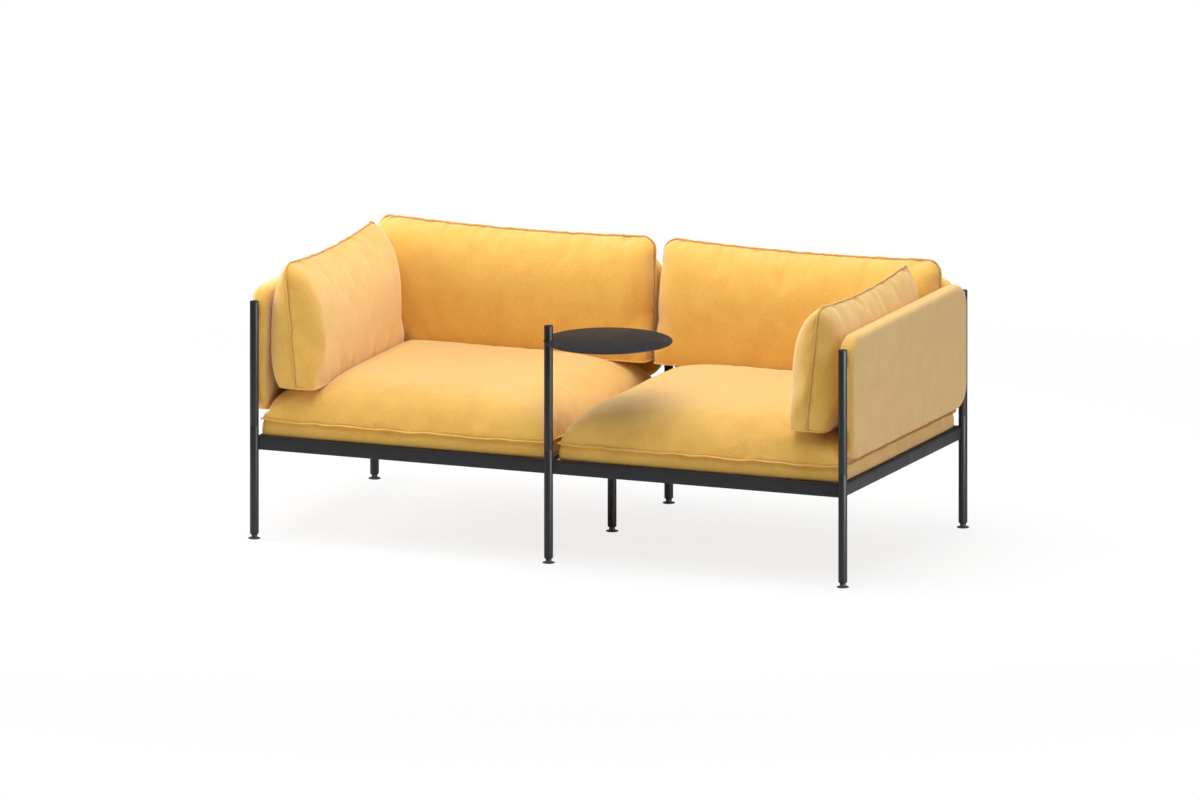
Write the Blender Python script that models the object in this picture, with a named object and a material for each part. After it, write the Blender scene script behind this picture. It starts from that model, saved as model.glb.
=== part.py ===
"""Two-seater modular sofa with a tray table on its middle front post.

The sofa stands on its levelling feet at Z = 0. X runs along the front, with the centre plane at
X = 0, and Y runs from the front to the back. Lengths are in metres. Depths in the sizes below are
measured from the line through the front posts.
"""

import math

import bmesh
import bpy
from mathutils import Vector

# Clearance that separate pieces keep where they touch or are joined
GAP = 0.0003

# Frame: two modules side by side, posts on the corners and on the middle line.
# The seam between each leg and its post lies a little over the rails
MODULE_PITCH = 0.850
MODULE_DEPTH = 0.850
POST_DIAMETER = 0.024
TUBE_WALL = 0.002
POST_HEIGHT = 0.6485
SEAM_RISE = 0.0305
SEAM_CHAMFER = 0.0006
CAP_CHAMFER = 0.0012
LEG_CHAMFER = 0.004
SUPPORT_LEG_DEPTH = 0.449
SPIGOT_LENGTH = 0.080
SPIGOT_CHAMFER = 0.0015

# Rails: box section, with the outer face on the line through the post axes
RAIL_BOTTOM = 0.243
RAIL_HEIGHT = 0.035
RAIL_WIDTH = 0.025
RAIL_WALL = 0.002
RAIL_EDGE_RADIUS = 0.003
LEDGE_WIDTH = 0.015
LEDGE_THICKNESS = 0.003
LEDGE_END_MARGIN = 0.050

# Levelling feet and the threaded plug that closes each leg
PAD_DIAMETER = 0.033
PAD_RIM = 0.0022
PAD_THICKNESS = 0.0045
PAD_EDGE = 0.0006
NECK_DIAMETER = 0.0155
NECK_HEIGHT = 0.0070
STUD_DIAMETER = 0.008
PLUG_THICKNESS = 0.018
FOOT_TRAVEL = 0.010
STUD_SPARE = 0.006

# Seat decks: slotted plywood, level with the top of the rails
DECK_THICKNESS = 0.012
SLOT_COUNT = 5
SLOT_WIDTH = 0.022
SLOT_END_MARGIN = 0.110

# Upholstered arm and back panels between the posts, lifted clear of the rails
PANEL_THICKNESS = 0.044
PANEL_LIFT = 0.060
PANEL_HEIGHT = 0.340
PANEL_CORNER_RADIUS = 0.065
PANEL_EDGE_RADIUS = 0.016
PANEL_END_GAP = 0.004

# Fixing strips let into the ends of the panels, lifted from their lower edge, with pins that
# enter the posts
STRIP_WIDTH = 0.014
STRIP_THICKNESS = 0.006
STRIP_LIFT = 0.082
STRIP_LENGTH = 0.180
PIN_DIAMETER = 0.006
PIN_REACH = 0.0055
PIN_END_MARGIN = 0.030

# Seat cushions: a boxed base, a sewn flange round it and a crowned top
SEAT_FRONT_INSET = 0.025
SEAT_BACK_INSET = 0.032
SEAT_OUTER_INSET = 0.015
SEAT_MIDDLE_INSET = 0.023
SEAT_BORDER_HEIGHT = 0.043
SEAT_BORDER_FLARE = 0.005
SEAT_EDGE_RADIUS = 0.007
SEAT_CORNER_PULL = 0.004
FLANGE_WIDTH = 0.007
FLANGE_THICKNESS = 0.005
CROWN_HEIGHT = 0.110
CROWN_RUN = 0.076
CROWN_DOME = 0.30
DENT_MARGIN = 0.010
DENT_RUN = 0.030
TUCK_MARGIN = 0.0015
PRESS_MARGIN = 0.010

# Loose cushions, which rest on the pressed crown at a lift over the seat's flange. Their section
# is measured outwards from the face of the panel behind
LOOSE_LIFT = 0.0887
LOOSE_BASE_STANDOFF = 0.036
LOOSE_BASE_THICKNESS = 0.108
LOOSE_RIDGE_STANDOFF = 0.058
LOOSE_THICKNESS = 0.150
LOOSE_BELLY_HEIGHT = 0.125
LOOSE_END_DEPTH = 0.048
LOOSE_END_LEAN = 0.005
LOOSE_CORNER_RADIUS = 0.035
LOOSE_SEAM_WIDTH = 0.003
LOOSE_SEAM_LIP = 0.004
LOOSE_BASE_CREASE = 0.006
ARM_CUSHION_FRONT = 0.012
ARM_CUSHION_BACK_GAP = 0.0057
ARM_CUSHION_HEIGHT = 0.336
ARM_RIDGE_SAG = 0.014
BACK_CUSHION_END_GAP = 0.001
BACK_CUSHION_HEIGHT = 0.328
BACK_RIDGE_SAG = 0.009
BACK_CUSHION_GAP = 0.012
BACK_CUSHION_SHIFT = 0.009

# Tray table: a disc carried near its rim by a post that swivels in the middle front leg
TRAY_DIAMETER = 0.346
TRAY_THICKNESS = 0.003
TRAY_DROP = 0.041
TRAY_RIM_WEB = 0.0015
TRAY_DIRECTION = math.radians(22.2)
TRAY_EDGE = 0.0006
WASHER_THICKNESS = 0.001
WASHER_MARGIN = 0.0008

# Facets: sides of round pieces and steps in curves
TUBE_SIDES = 16
TRAY_SIDES = 48
PIN_SIDES = 8
CORNER_STEPS = 4
EDGE_STEPS = 2
LOOSE_LEVELS = 11
LOOSE_END_STEPS = 4
LOOSE_MIDDLE_STEPS = 5
SEAT_EDGE_STEPS = 4
SEAT_MIDDLE_STEPS = 6

# Exponents of the curves that shape the cushions
CROWN_FULLNESS = 0.88
CROWN_CORNER = 8
EDGE_SPACING = 1.5
RIDGE_SHARPNESS = 2.4
RIDGE_FULLNESS = 0.6

# Colours as sRGB and finishes
BLACK_STEEL = ("black_powder_coated_steel", (0.20, 0.20, 0.21), 0.0, 0.45)
BARE_STEEL = ("zinc_plated_steel", (0.62, 0.62, 0.63), 1.0, 0.40)
BLACK_NYLON = ("black_nylon", (0.16, 0.16, 0.17), 0.0, 0.60)
YELLOW_WOOL = ("mustard_wool_cloth", (0.90, 0.70, 0.33), 0.0, 0.95)
BIRCH_PLY = ("birch_plywood", (0.80, 0.67, 0.48), 0.0, 0.70)

# Sizes that follow from those above
POST_RADIUS = POST_DIAMETER / 2
BORE_RADIUS = POST_RADIUS - TUBE_WALL
RAIL_TOP = RAIL_BOTTOM + RAIL_HEIGHT
SEAM_HEIGHT = RAIL_TOP + SEAM_RISE
LEG_BOTTOM = PAD_THICKNESS + NECK_HEIGHT + GAP
STUD_LENGTH = PLUG_THICKNESS + FOOT_TRAVEL + STUD_SPARE
PANEL_INNER_FACE = PANEL_THICKNESS / 2
PANEL_BOTTOM = RAIL_TOP + PANEL_LIFT
STRIP_FACE = POST_RADIUS + GAP
STRIP_BOTTOM = PANEL_BOTTOM + STRIP_LIFT
TRAY_TOP = POST_HEIGHT - TRAY_DROP
TRAY_REACH = TRAY_DIAMETER / 2 - TRAY_RIM_WEB - GAP - POST_RADIUS
TRAY_X = TRAY_REACH * math.cos(TRAY_DIRECTION)
TRAY_DEPTH = TRAY_REACH * math.sin(TRAY_DIRECTION)
SEAT_BOTTOM = RAIL_TOP + GAP
SEAT_SEAM = SEAT_BOTTOM + SEAT_BORDER_HEIGHT
LOOSE_REST = SEAT_SEAM + FLANGE_THICKNESS / 2 + LOOSE_LIFT
LOOSE_FRONT = PANEL_INNER_FACE + GAP + LOOSE_THICKNESS
ARM_CUSHION_BACK = MODULE_DEPTH - LOOSE_FRONT - ARM_CUSHION_BACK_GAP
ARM_CUSHION_LENGTH = ARM_CUSHION_BACK - ARM_CUSHION_FRONT
BACK_CUSHION_INNER = BACK_CUSHION_GAP / 2 + BACK_CUSHION_SHIFT
BACK_CUSHION_OUTER = MODULE_PITCH - PANEL_INNER_FACE - BACK_CUSHION_END_GAP
BACK_CUSHION_LENGTH = BACK_CUSHION_OUTER - BACK_CUSHION_INNER

# The origin lies under the middle of the sofa's box, from the tray's front to the back panels
FRONT_REACH = max(TRAY_DIAMETER / 2 - TRAY_DEPTH, POST_RADIUS, PAD_DIAMETER / 2)
BACK_REACH = MODULE_DEPTH + max(PANEL_THICKNESS, PAD_DIAMETER) / 2
FRONT_LINE_Y = (FRONT_REACH - BACK_REACH) / 2


def clear_scene():
    for obj in list(bpy.data.objects):
        bpy.data.objects.remove(obj, do_unlink=True)


def linear(channel):
    if channel <= 0.04045:
        return channel / 12.92
    return ((channel + 0.055) / 1.055) ** 2.4


def finish(look):
    """The material of one finish, made once."""
    name, colour, metallic, roughness = look
    material = bpy.data.materials.get(name)
    if material is None:
        material = bpy.data.materials.new(name)
        material.use_nodes = True
        shader = material.node_tree.nodes["Principled BSDF"]
        shader.inputs["Base Color"].default_value = (*map(linear, colour), 1.0)
        shader.inputs["Metallic"].default_value = metallic
        shader.inputs["Roughness"].default_value = roughness
    return material


def empty(name, parent, place):
    holder = bpy.data.objects.new(name, None)
    bpy.context.collection.objects.link(holder)
    holder.parent = parent
    holder.location = place
    return holder


def add_object(name, mesh, look, parent, place=(0.0, 0.0, 0.0), turn=0.0):
    """Links a mesh as a named object, placed under its parent and turned about Z."""
    obj = bpy.data.objects.new(name, mesh)
    bpy.context.collection.objects.link(obj)
    obj.parent = parent
    obj.location = place
    obj.rotation_euler = (0.0, 0.0, turn)
    if look is not None:
        mesh.materials.append(finish(look))
    return obj


def smooth(mesh, angle=30):
    mesh.shade_smooth()
    mesh.set_sharp_from_angle(angle=math.radians(angle))
    return mesh


def mesh_from(name, points, faces):
    mesh = bpy.data.meshes.new(name)
    mesh.from_pydata([tuple(point) for point in points], [], faces)
    mesh.validate()
    return mesh


def finish_bmesh(name, shape):
    bmesh.ops.recalc_face_normals(shape, faces=shape.faces)
    mesh = bpy.data.meshes.new(name)
    shape.to_mesh(mesh)
    shape.free()
    return mesh


def turned(name, profile, sides=TUBE_SIDES):
    """A solid of revolution about Z, from (radius, height) points along its section.

    A section that starts and ends on the axis is closed by its poles, and any other is a ring.
    """
    points = []
    rows = []
    for radius, height in profile:
        count = 1 if radius == 0.0 else sides
        rows.append(range(len(points), len(points) + count))
        for i in range(count):
            angle = 2 * math.pi * i / sides
            points.append((radius * math.cos(angle), radius * math.sin(angle), height))
    closed = profile[0][0] > 0.0
    faces = []
    for k in range(len(rows) if closed else len(rows) - 1):
        low = rows[k]
        high = rows[(k + 1) % len(rows)]
        for i in range(sides):
            j = (i + 1) % sides
            corners = (low[i % len(low)], low[j % len(low)], high[j % len(high)], high[i % len(high)])
            faces.append(tuple(dict.fromkeys(corners)))
    shape = bmesh.new()
    mesh = mesh_from(name, points, faces)
    shape.from_mesh(mesh)
    bpy.data.meshes.remove(mesh)
    return smooth(finish_bmesh(name, shape))


def stacked(name, rings):
    """A closed skin over rings of equal length, from the lowest to the highest."""
    count = len(rings[0])
    points = [point for ring in rings for point in ring]
    faces = [tuple(reversed(range(count)))]
    for k in range(len(rings) - 1):
        for i in range(count):
            j = (i + 1) % count
            low = k * count
            high = low + count
            faces.append((low + i, low + j, high + j, high + i))
    faces.append(tuple(range(len(points) - count, len(points))))
    return mesh_from(name, points, faces)


def box_mesh(name, low, high):
    x0, y0, z0 = low
    x1, y1, z1 = high
    lower = [(x0, y0, z0), (x1, y0, z0), (x1, y1, z0), (x0, y1, z0)]
    upper = [(x, y, z1) for x, y, _ in lower]
    return stacked(name, [lower, upper])


def rounded_rectangle(low, high, radius, steps):
    """Points round a rectangle with arcs at its corners, anticlockwise."""
    centres = (
        (high[0] - radius, high[1] - radius, 0),
        (low[0] + radius, high[1] - radius, 1),
        (low[0] + radius, low[1] + radius, 2),
        (high[0] - radius, low[1] + radius, 3),
    )
    points = []
    for x, y, quarter in centres:
        for step in range(steps + 1):
            angle = (quarter + step / steps) * math.pi / 2
            points.append((x + radius * math.cos(angle), y + radius * math.sin(angle)))
    return points


def hide(cutter):
    cutter.hide_render = True
    cutter.display_type = "WIRE"
    return cutter


def combine(obj, other, operation):
    modifier = obj.modifiers.new(f"{operation.lower()}_{other.name}", "BOOLEAN")
    modifier.operation = operation
    modifier.object = other


def post_places():
    """Name, X and depth of every post that stands on a leg, in order round the frame."""
    return {
        "front_left": (-MODULE_PITCH, 0.0),
        "front_middle": (0.0, 0.0),
        "front_right": (MODULE_PITCH, 0.0),
        "back_right": (MODULE_PITCH, MODULE_DEPTH),
        "back_middle": (0.0, MODULE_DEPTH),
        "back_left": (-MODULE_PITCH, MODULE_DEPTH),
    }


def rail_section(inset):
    """The section of a rail, as (depth inwards, height) points, shrunk by an inset."""
    radius = max(RAIL_EDGE_RADIUS - inset, RAIL_WALL / 4)
    low = (inset, RAIL_BOTTOM + inset)
    high = (RAIL_WIDTH - inset, RAIL_TOP - inset)
    return rounded_rectangle(low, high, radius, EDGE_STEPS)


def rail_mesh(name, length, start, end):
    """A hollow rail along X, with its outer face on Y = 0.

    start and end give how far each end is cut back at a given depth.
    """
    outer = rail_section(0.0)
    inner = rail_section(RAIL_WALL)
    count = len(outer)
    points = []
    for section in (outer, inner):
        points += [(start(depth), depth, height) for depth, height in section]
        points += [(length - end(depth), depth, height) for depth, height in section]
    faces = []
    for i in range(count):
        j = (i + 1) % count
        outer_face = (i, j, count + j, count + i)
        inner_face = (2 * count + i, 3 * count + i, 3 * count + j, 2 * count + j)
        start_face = (i, 2 * count + i, 2 * count + j, j)
        end_face = (count + i, count + j, 3 * count + j, 3 * count + i)
        faces += [outer_face, inner_face, start_face, end_face]
    shape = bmesh.new()
    mesh = mesh_from(name, points, faces)
    shape.from_mesh(mesh)
    bpy.data.meshes.remove(mesh)
    return smooth(finish_bmesh(name, shape), angle=50)


def mitre(depth):
    return depth + GAP / math.sqrt(2)


def butt(depth):
    return GAP / 2


def add_ledge(rail, name, parent, low, high):
    """Joins to a rail the ledge that carries the edge of a seat deck."""
    deck_bottom = RAIL_TOP - DECK_THICKNESS
    bottom = (low[0], low[1], deck_bottom - GAP - LEDGE_THICKNESS)
    top = (high[0], high[1], deck_bottom - GAP)
    ledge = hide(add_object(name, box_mesh(name, bottom, top), None, parent))
    combine(rail, ledge, "UNION")


def build_perimeter_rails(root):
    """Six rails round the frame, each from one post to the next, notched round the posts."""
    notches = {}
    notch_profile = [
        (0.0, RAIL_BOTTOM - RAIL_WIDTH),
        (POST_RADIUS + GAP, RAIL_BOTTOM - RAIL_WIDTH),
        (POST_RADIUS + GAP, RAIL_TOP + RAIL_WIDTH),
        (0.0, RAIL_TOP + RAIL_WIDTH),
    ]
    for place, (x, depth) in post_places().items():
        name = f"notch_{place}"
        cutter = add_object(name, turned(name, notch_profile), None, root, (x, depth, 0.0))
        notches[place] = hide(cutter)
    runs = (
        ("front_rail_left", "front_left", "front_middle", mitre, butt),
        ("front_rail_right", "front_middle", "front_right", butt, mitre),
        ("side_rail_right", "front_right", "back_right", mitre, mitre),
        ("back_rail_right", "back_right", "back_middle", mitre, butt),
        ("back_rail_left", "back_middle", "back_left", butt, mitre),
        ("side_rail_left", "back_left", "front_left", mitre, mitre),
    )
    rails = {}
    for name, first, last, start, end in runs:
        origin = Vector(post_places()[first])
        run = Vector(post_places()[last]) - origin
        mesh = rail_mesh(name, run.length, start, end)
        turn = math.atan2(run.y, run.x)
        rail = add_object(name, mesh, BLACK_STEEL, root, (origin.x, origin.y, 0.0), turn)
        combine(rail, notches[first], "DIFFERENCE")
        combine(rail, notches[last], "DIFFERENCE")
        rails[name] = rail
    inner = MODULE_PITCH - RAIL_WIDTH
    for side, sign in (("left", -1), ("right", 1)):
        near = sign * (inner + RAIL_WALL / 2)
        far = sign * (inner - LEDGE_WIDTH)
        low = (min(near, far), LEDGE_END_MARGIN)
        high = (max(near, far), MODULE_DEPTH - LEDGE_END_MARGIN)
        add_ledge(rails[f"side_rail_{side}"], f"ledge_{side}", root, low, high)


def build_centre_rail(root):
    """The rail under the gap between the seats, from the front rails to the back rails."""
    length = MODULE_DEPTH - 2 * RAIL_WIDTH
    mesh = rail_mesh("centre_rail", length, lambda depth: GAP, lambda depth: GAP)
    place = (RAIL_WIDTH / 2, RAIL_WIDTH, 0.0)
    rail = add_object("centre_rail", mesh, BLACK_STEEL, root, place, math.pi / 2)
    for side, sign in (("middle_left", -1), ("middle_right", 1)):
        near = sign * (RAIL_WIDTH / 2 - RAIL_WALL / 2)
        far = sign * (RAIL_WIDTH / 2 + LEDGE_WIDTH)
        low = (min(near, far), LEDGE_END_MARGIN)
        high = (max(near, far), MODULE_DEPTH - LEDGE_END_MARGIN)
        add_ledge(rail, f"ledge_{side}", root, low, high)


def leg_profile(top):
    """Section of a leg: open at the top, with a drilled plug at the bottom for the stud."""
    hole = STUD_DIAMETER / 2 + GAP
    return [
        (hole, LEG_BOTTOM),
        (POST_RADIUS - LEG_CHAMFER, LEG_BOTTOM),
        (POST_RADIUS, LEG_BOTTOM + LEG_CHAMFER),
        (POST_RADIUS, top - SEAM_CHAMFER),
        (POST_RADIUS - SEAM_CHAMFER, top),
        (BORE_RADIUS, top),
        (BORE_RADIUS, LEG_BOTTOM + PLUG_THICKNESS),
        (hole, LEG_BOTTOM + PLUG_THICKNESS),
    ]


def foot_profile():
    """Section of a levelling foot: a domed pad, a neck and the stud that enters the leg."""
    pad = PAD_DIAMETER / 2
    neck = NECK_DIAMETER / 2
    stud = STUD_DIAMETER / 2
    neck_top = PAD_THICKNESS + NECK_HEIGHT
    return [
        (0.0, 0.0),
        (pad - PAD_EDGE, 0.0),
        (pad, PAD_EDGE),
        (pad, PAD_RIM),
        (pad - (pad - neck) / 3, (PAD_RIM + 2 * PAD_THICKNESS) / 3),
        (neck, PAD_THICKNESS),
        (neck, neck_top),
        (stud, neck_top),
        (stud, neck_top + STUD_LENGTH),
        (0.0, neck_top + STUD_LENGTH),
    ]


def build_legs_and_feet(root):
    legs = {name: (x, depth, SEAM_HEIGHT) for name, (x, depth) in post_places().items()}
    legs["support"] = (0.0, SUPPORT_LEG_DEPTH, RAIL_BOTTOM - GAP)
    foot_mesh = turned("levelling_foot", foot_profile())
    foot_mesh.materials.append(finish(BLACK_NYLON))
    for name, (x, depth, top) in legs.items():
        leg = turned(f"leg_{name}", leg_profile(top))
        add_object(f"leg_{name}", leg, BLACK_STEEL, root, (x, depth, 0.0))
        add_object(f"foot_{name}", foot_mesh, None, root, (x, depth, 0.0))


def post_profile(bottom):
    """Section of an upper post: a tube with a closed top."""
    return [
        (0.0, POST_HEIGHT),
        (POST_RADIUS - CAP_CHAMFER, POST_HEIGHT),
        (POST_RADIUS, POST_HEIGHT - CAP_CHAMFER),
        (POST_RADIUS, bottom + SEAM_CHAMFER),
        (POST_RADIUS - SEAM_CHAMFER, bottom),
        (BORE_RADIUS, bottom),
        (BORE_RADIUS, POST_HEIGHT - TUBE_WALL),
        (0.0, POST_HEIGHT - TUBE_WALL),
    ]


def spigot_profile():
    radius = BORE_RADIUS - GAP
    low = SEAM_HEIGHT - SPIGOT_LENGTH / 2
    high = SEAM_HEIGHT + SPIGOT_LENGTH / 2
    return [
        (0.0, low),
        (radius - SPIGOT_CHAMFER, low),
        (radius, low + SPIGOT_CHAMFER),
        (radius, high - SPIGOT_CHAMFER),
        (radius - SPIGOT_CHAMFER, high),
        (0.0, high),
    ]


def build_posts(root):
    """Upper posts on every leg but the one that carries the tray, and a spigot in every joint."""
    posts = {}
    spigot_mesh = turned("spigot", spigot_profile())
    spigot_mesh.materials.append(finish(BARE_STEEL))
    for name, (x, depth) in post_places().items():
        add_object(f"spigot_{name}", spigot_mesh, None, root, (x, depth, 0.0))
        if name != "front_middle":
            post = turned(f"post_{name}", post_profile(SEAM_HEIGHT + GAP))
            posts[name] = add_object(f"post_{name}", post, BLACK_STEEL, root, (x, depth, 0.0))
    return posts


def build_tray(root):
    """The tray and its post, both under an empty on the swivel axis, and the swivel washer."""
    x, depth = post_places()["front_middle"]
    washer_top = SEAM_HEIGHT + GAP + WASHER_THICKNESS
    washer_profile = [
        (BORE_RADIUS, SEAM_HEIGHT + GAP),
        (POST_RADIUS - WASHER_MARGIN, SEAM_HEIGHT + GAP),
        (POST_RADIUS - WASHER_MARGIN, washer_top),
        (BORE_RADIUS, washer_top),
    ]
    washer = turned("swivel_washer", washer_profile)
    add_object("swivel_washer", washer, BLACK_NYLON, root, (x, depth, 0.0))
    swivel = empty("tray_swivel", root, (x, depth, 0.0))
    pole = turned("tray_post", post_profile(washer_top + GAP))
    add_object("tray_post", pole, BLACK_STEEL, swivel)
    radius = TRAY_DIAMETER / 2
    disc_profile = [
        (0.0, TRAY_TOP - TRAY_THICKNESS),
        (radius - TRAY_EDGE, TRAY_TOP - TRAY_THICKNESS),
        (radius, TRAY_TOP - TRAY_THICKNESS + TRAY_EDGE),
        (radius, TRAY_TOP - TRAY_EDGE),
        (radius - TRAY_EDGE, TRAY_TOP),
        (0.0, TRAY_TOP),
    ]
    disc_mesh = turned("tray", disc_profile, TRAY_SIDES)
    disc = add_object("tray", disc_mesh, BLACK_STEEL, swivel, (TRAY_X, TRAY_DEPTH, 0.0))
    hole_profile = [
        (0.0, TRAY_TOP - 2 * TRAY_THICKNESS),
        (POST_RADIUS + GAP, TRAY_TOP - 2 * TRAY_THICKNESS),
        (POST_RADIUS + GAP, TRAY_TOP + TRAY_THICKNESS),
        (0.0, TRAY_TOP + TRAY_THICKNESS),
    ]
    hole = turned("tray_post_hole", hole_profile)
    combine(disc, hide(add_object("tray_post_hole", hole, None, swivel)), "DIFFERENCE")


def panel_mesh(name, length):
    """An upholstered board on edge along X, centred on its length and thickness."""
    low = (-length / 2, PANEL_BOTTOM)
    high = (length / 2, PANEL_BOTTOM + PANEL_HEIGHT)
    outline = rounded_rectangle(low, high, PANEL_CORNER_RADIUS, CORNER_STEPS)
    half = PANEL_THICKNESS / 2
    front = [(x, -half, z) for x, z in outline]
    back = [(x, half, z) for x, z in outline]
    return stacked(name, [back, front])


def round_edges(obj, radius, segments):
    bevel = obj.modifiers.new("rounded_edges", "BEVEL")
    bevel.width = radius
    bevel.segments = segments
    bevel.limit_method = "ANGLE"
    bevel.angle_limit = math.radians(45)


def strip_mesh(name, grow):
    """A fixing strip with two pins, along -X from the panel into a post on Z's axis.

    grow enlarges it into the cutter for its seats in the panel and in the post.
    """
    half = STRIP_WIDTH / 2 + grow
    face = STRIP_FACE - grow
    low = (face, -half, STRIP_BOTTOM - grow)
    high = (STRIP_FACE + STRIP_THICKNESS + grow, half, STRIP_BOTTOM + STRIP_LENGTH + grow)
    return box_mesh(name, low, high)


def pin_mesh(name, height, grow):
    """One pin of a fixing strip, lying along X at a given height."""
    tip = POST_RADIUS - PIN_REACH - grow
    root_end = STRIP_FACE + STRIP_THICKNESS / 2
    radius = PIN_DIAMETER / 2 + grow
    rings = []
    for x in (tip, root_end):
        ring = []
        for i in range(PIN_SIDES):
            angle = 2 * math.pi * (i + 0.5) / PIN_SIDES
            ring.append((x, radius * math.cos(angle), height + radius * math.sin(angle)))
        rings.append(ring)
    return stacked(name, rings)


def add_strip(name, root, place, turn, post, panel):
    """A fixing strip and its pins, with their seats cut into the post and the panel."""
    heights = (STRIP_BOTTOM + PIN_END_MARGIN, STRIP_BOTTOM + STRIP_LENGTH - PIN_END_MARGIN)
    strip = add_object(name, strip_mesh(name, 0.0), BARE_STEEL, root, place, turn)
    seat_mesh = strip_mesh(f"seat_{name}", GAP)
    seat = hide(add_object(f"seat_{name}", seat_mesh, None, root, place, turn))
    combine(panel, seat, "DIFFERENCE")
    for side, height in zip(("low", "high"), heights):
        pin_name = f"pin_{side}_{name}"
        pin = add_object(pin_name, pin_mesh(pin_name, height, 0.0), None, root, place, turn)
        combine(strip, hide(pin), "UNION")
        hole_name = f"hole_{side}_{name}"
        hole = add_object(hole_name, pin_mesh(hole_name, height, GAP), None, root, place, turn)
        combine(post, hide(hole), "DIFFERENCE")


def build_panels(root, posts):
    """Arm panels between the side posts and back panels between the back posts."""
    runs = (
        ("arm_panel_left", "front_left", "back_left"),
        ("arm_panel_right", "front_right", "back_right"),
        ("back_panel_left", "back_left", "back_middle"),
        ("back_panel_right", "back_middle", "back_right"),
    )
    for name, first, last in runs:
        start = Vector(post_places()[first])
        run = Vector(post_places()[last]) - start
        length = run.length - 2 * (POST_RADIUS + PANEL_END_GAP)
        middle = start + run / 2
        turn = math.atan2(run.y, run.x)
        mesh = smooth(panel_mesh(name, length))
        panel = add_object(name, mesh, YELLOW_WOOL, root, (middle.x, middle.y, 0.0), turn)
        round_edges(panel, PANEL_EDGE_RADIUS, EDGE_STEPS + 1)
        for end, turn_round in ((first, 0.0), (last, math.pi)):
            x, depth = post_places()[end]
            strip_name = f"strip_{name}_{end}"
            add_strip(strip_name, root, (x, depth, 0.0), turn + turn_round, posts[end], panel)


def slot_mesh(name, length):
    """A cutter for one slot along Y, with round ends."""
    low = (-SLOT_WIDTH / 2, -length / 2)
    high = (SLOT_WIDTH / 2, length / 2)
    outline = rounded_rectangle(low, high, SLOT_WIDTH / 2 - GAP, EDGE_STEPS)
    bottom = RAIL_TOP - 2 * DECK_THICKNESS
    top = RAIL_TOP + DECK_THICKNESS
    return stacked(name, [[(x, y, bottom) for x, y in outline], [(x, y, top) for x, y in outline]])


def build_decks(root):
    """A slotted plywood deck in each module, on the ledges of the side and centre rails."""
    inner = RAIL_WIDTH / 2 + GAP
    outer = MODULE_PITCH - RAIL_WIDTH - GAP
    width = outer - inner
    length = MODULE_DEPTH - 2 * (RAIL_WIDTH + GAP)
    pitch = (width - 2 * SLOT_END_MARGIN) / (SLOT_COUNT - 1)
    for side, sign in (("left", -1), ("right", 1)):
        name = f"seat_deck_{side}"
        low = (-width / 2, -length / 2, RAIL_TOP - DECK_THICKNESS)
        high = (width / 2, length / 2, RAIL_TOP)
        place = (sign * (inner + outer) / 2, MODULE_DEPTH / 2, 0.0)
        deck = add_object(name, box_mesh(name, low, high), BIRCH_PLY, root, place)
        for i in range(SLOT_COUNT):
            slot_name = f"slot_{side}_{i}"
            slot = slot_mesh(slot_name, length - 2 * SLOT_END_MARGIN)
            offset = (i - (SLOT_COUNT - 1) / 2) * pitch
            slot_place = (place[0] + offset, place[1], 0.0)
            combine(deck, hide(add_object(slot_name, slot, None, root, slot_place)), "DIFFERENCE")


def crown(x, y, half_x, half_y):
    """Height of the crowned top over the flange, at a point measured from the middle."""
    rise_x = math.sin(math.pi / 2 * min((half_x - abs(x)) / CROWN_RUN, 1.0)) ** CROWN_FULLNESS
    rise_y = math.sin(math.pi / 2 * min((half_y - abs(y)) / CROWN_RUN, 1.0)) ** CROWN_FULLNESS
    if min(rise_x, rise_y) == 0.0:
        return 0.0
    spread = ((rise_x**CROWN_CORNER + rise_y**CROWN_CORNER) / 2) ** (1 / CROWN_CORNER)
    dome = 1 - CROWN_DOME * ((x / half_x) ** 2 + (y / half_y) ** 2) / 2
    return CROWN_HEIGHT * rise_x * rise_y / spread * dome


def grid_lines(half, dent, tucks):
    """Places of the grid lines across a seat: close at the edges, even in the middle.

    Lines on the slope into the dent give way to one at its top and one at its foot, and lines
    beside a tuck give way to one at its edge.
    """
    flat = half - CROWN_RUN
    edge_shares = [(step / SEAT_EDGE_STEPS) ** EDGE_SPACING for step in range(SEAT_EDGE_STEPS + 1)]
    lines = [sign * (half - CROWN_RUN * share) for share in edge_shares for sign in (-1, 1)]
    lines += [flat * (2 * step / SEAT_MIDDLE_STEPS - 1) for step in range(1, SEAT_MIDDLE_STEPS)]
    slope_top = dent - math.copysign(DENT_RUN, dent)
    pressed = [slope_top, dent, *tucks]
    low = min(slope_top, dent) - PRESS_MARGIN
    high = max(slope_top, dent) + PRESS_MARGIN
    lines = [line for line in lines if not low < line < high]
    for tuck in tucks:
        lines = [line for line in lines if abs(line - tuck) > PRESS_MARGIN or abs(line) == half]
    return sorted(lines + pressed)


def seat_top(half_x, half_y, dent_x, dent_y, tuck_x):
    """The crowned top as rows of points, pressed down under the loose cushions and the arm panel."""
    top = SEAT_SEAM + FLANGE_THICKNESS / 2
    rows = []
    for y in grid_lines(half_y, dent_y, ()):
        row = []
        for x in grid_lines(half_x, dent_x, (tuck_x,)):
            height = top + crown(x, y, half_x, half_y)
            if x / dent_x >= 1.0 or y / dent_y >= 1.0:
                height = min(height, LOOSE_REST - GAP)
            if x / tuck_x >= 1.0:
                height = min(height, PANEL_BOTTOM - GAP)
            pull = SEAT_CORNER_PULL * (abs(x) / half_x * abs(y) / half_y) ** CROWN_CORNER
            row.append((x - math.copysign(pull, x), y - math.copysign(pull, y), height))
        rows.append(row)
    return rows


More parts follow.
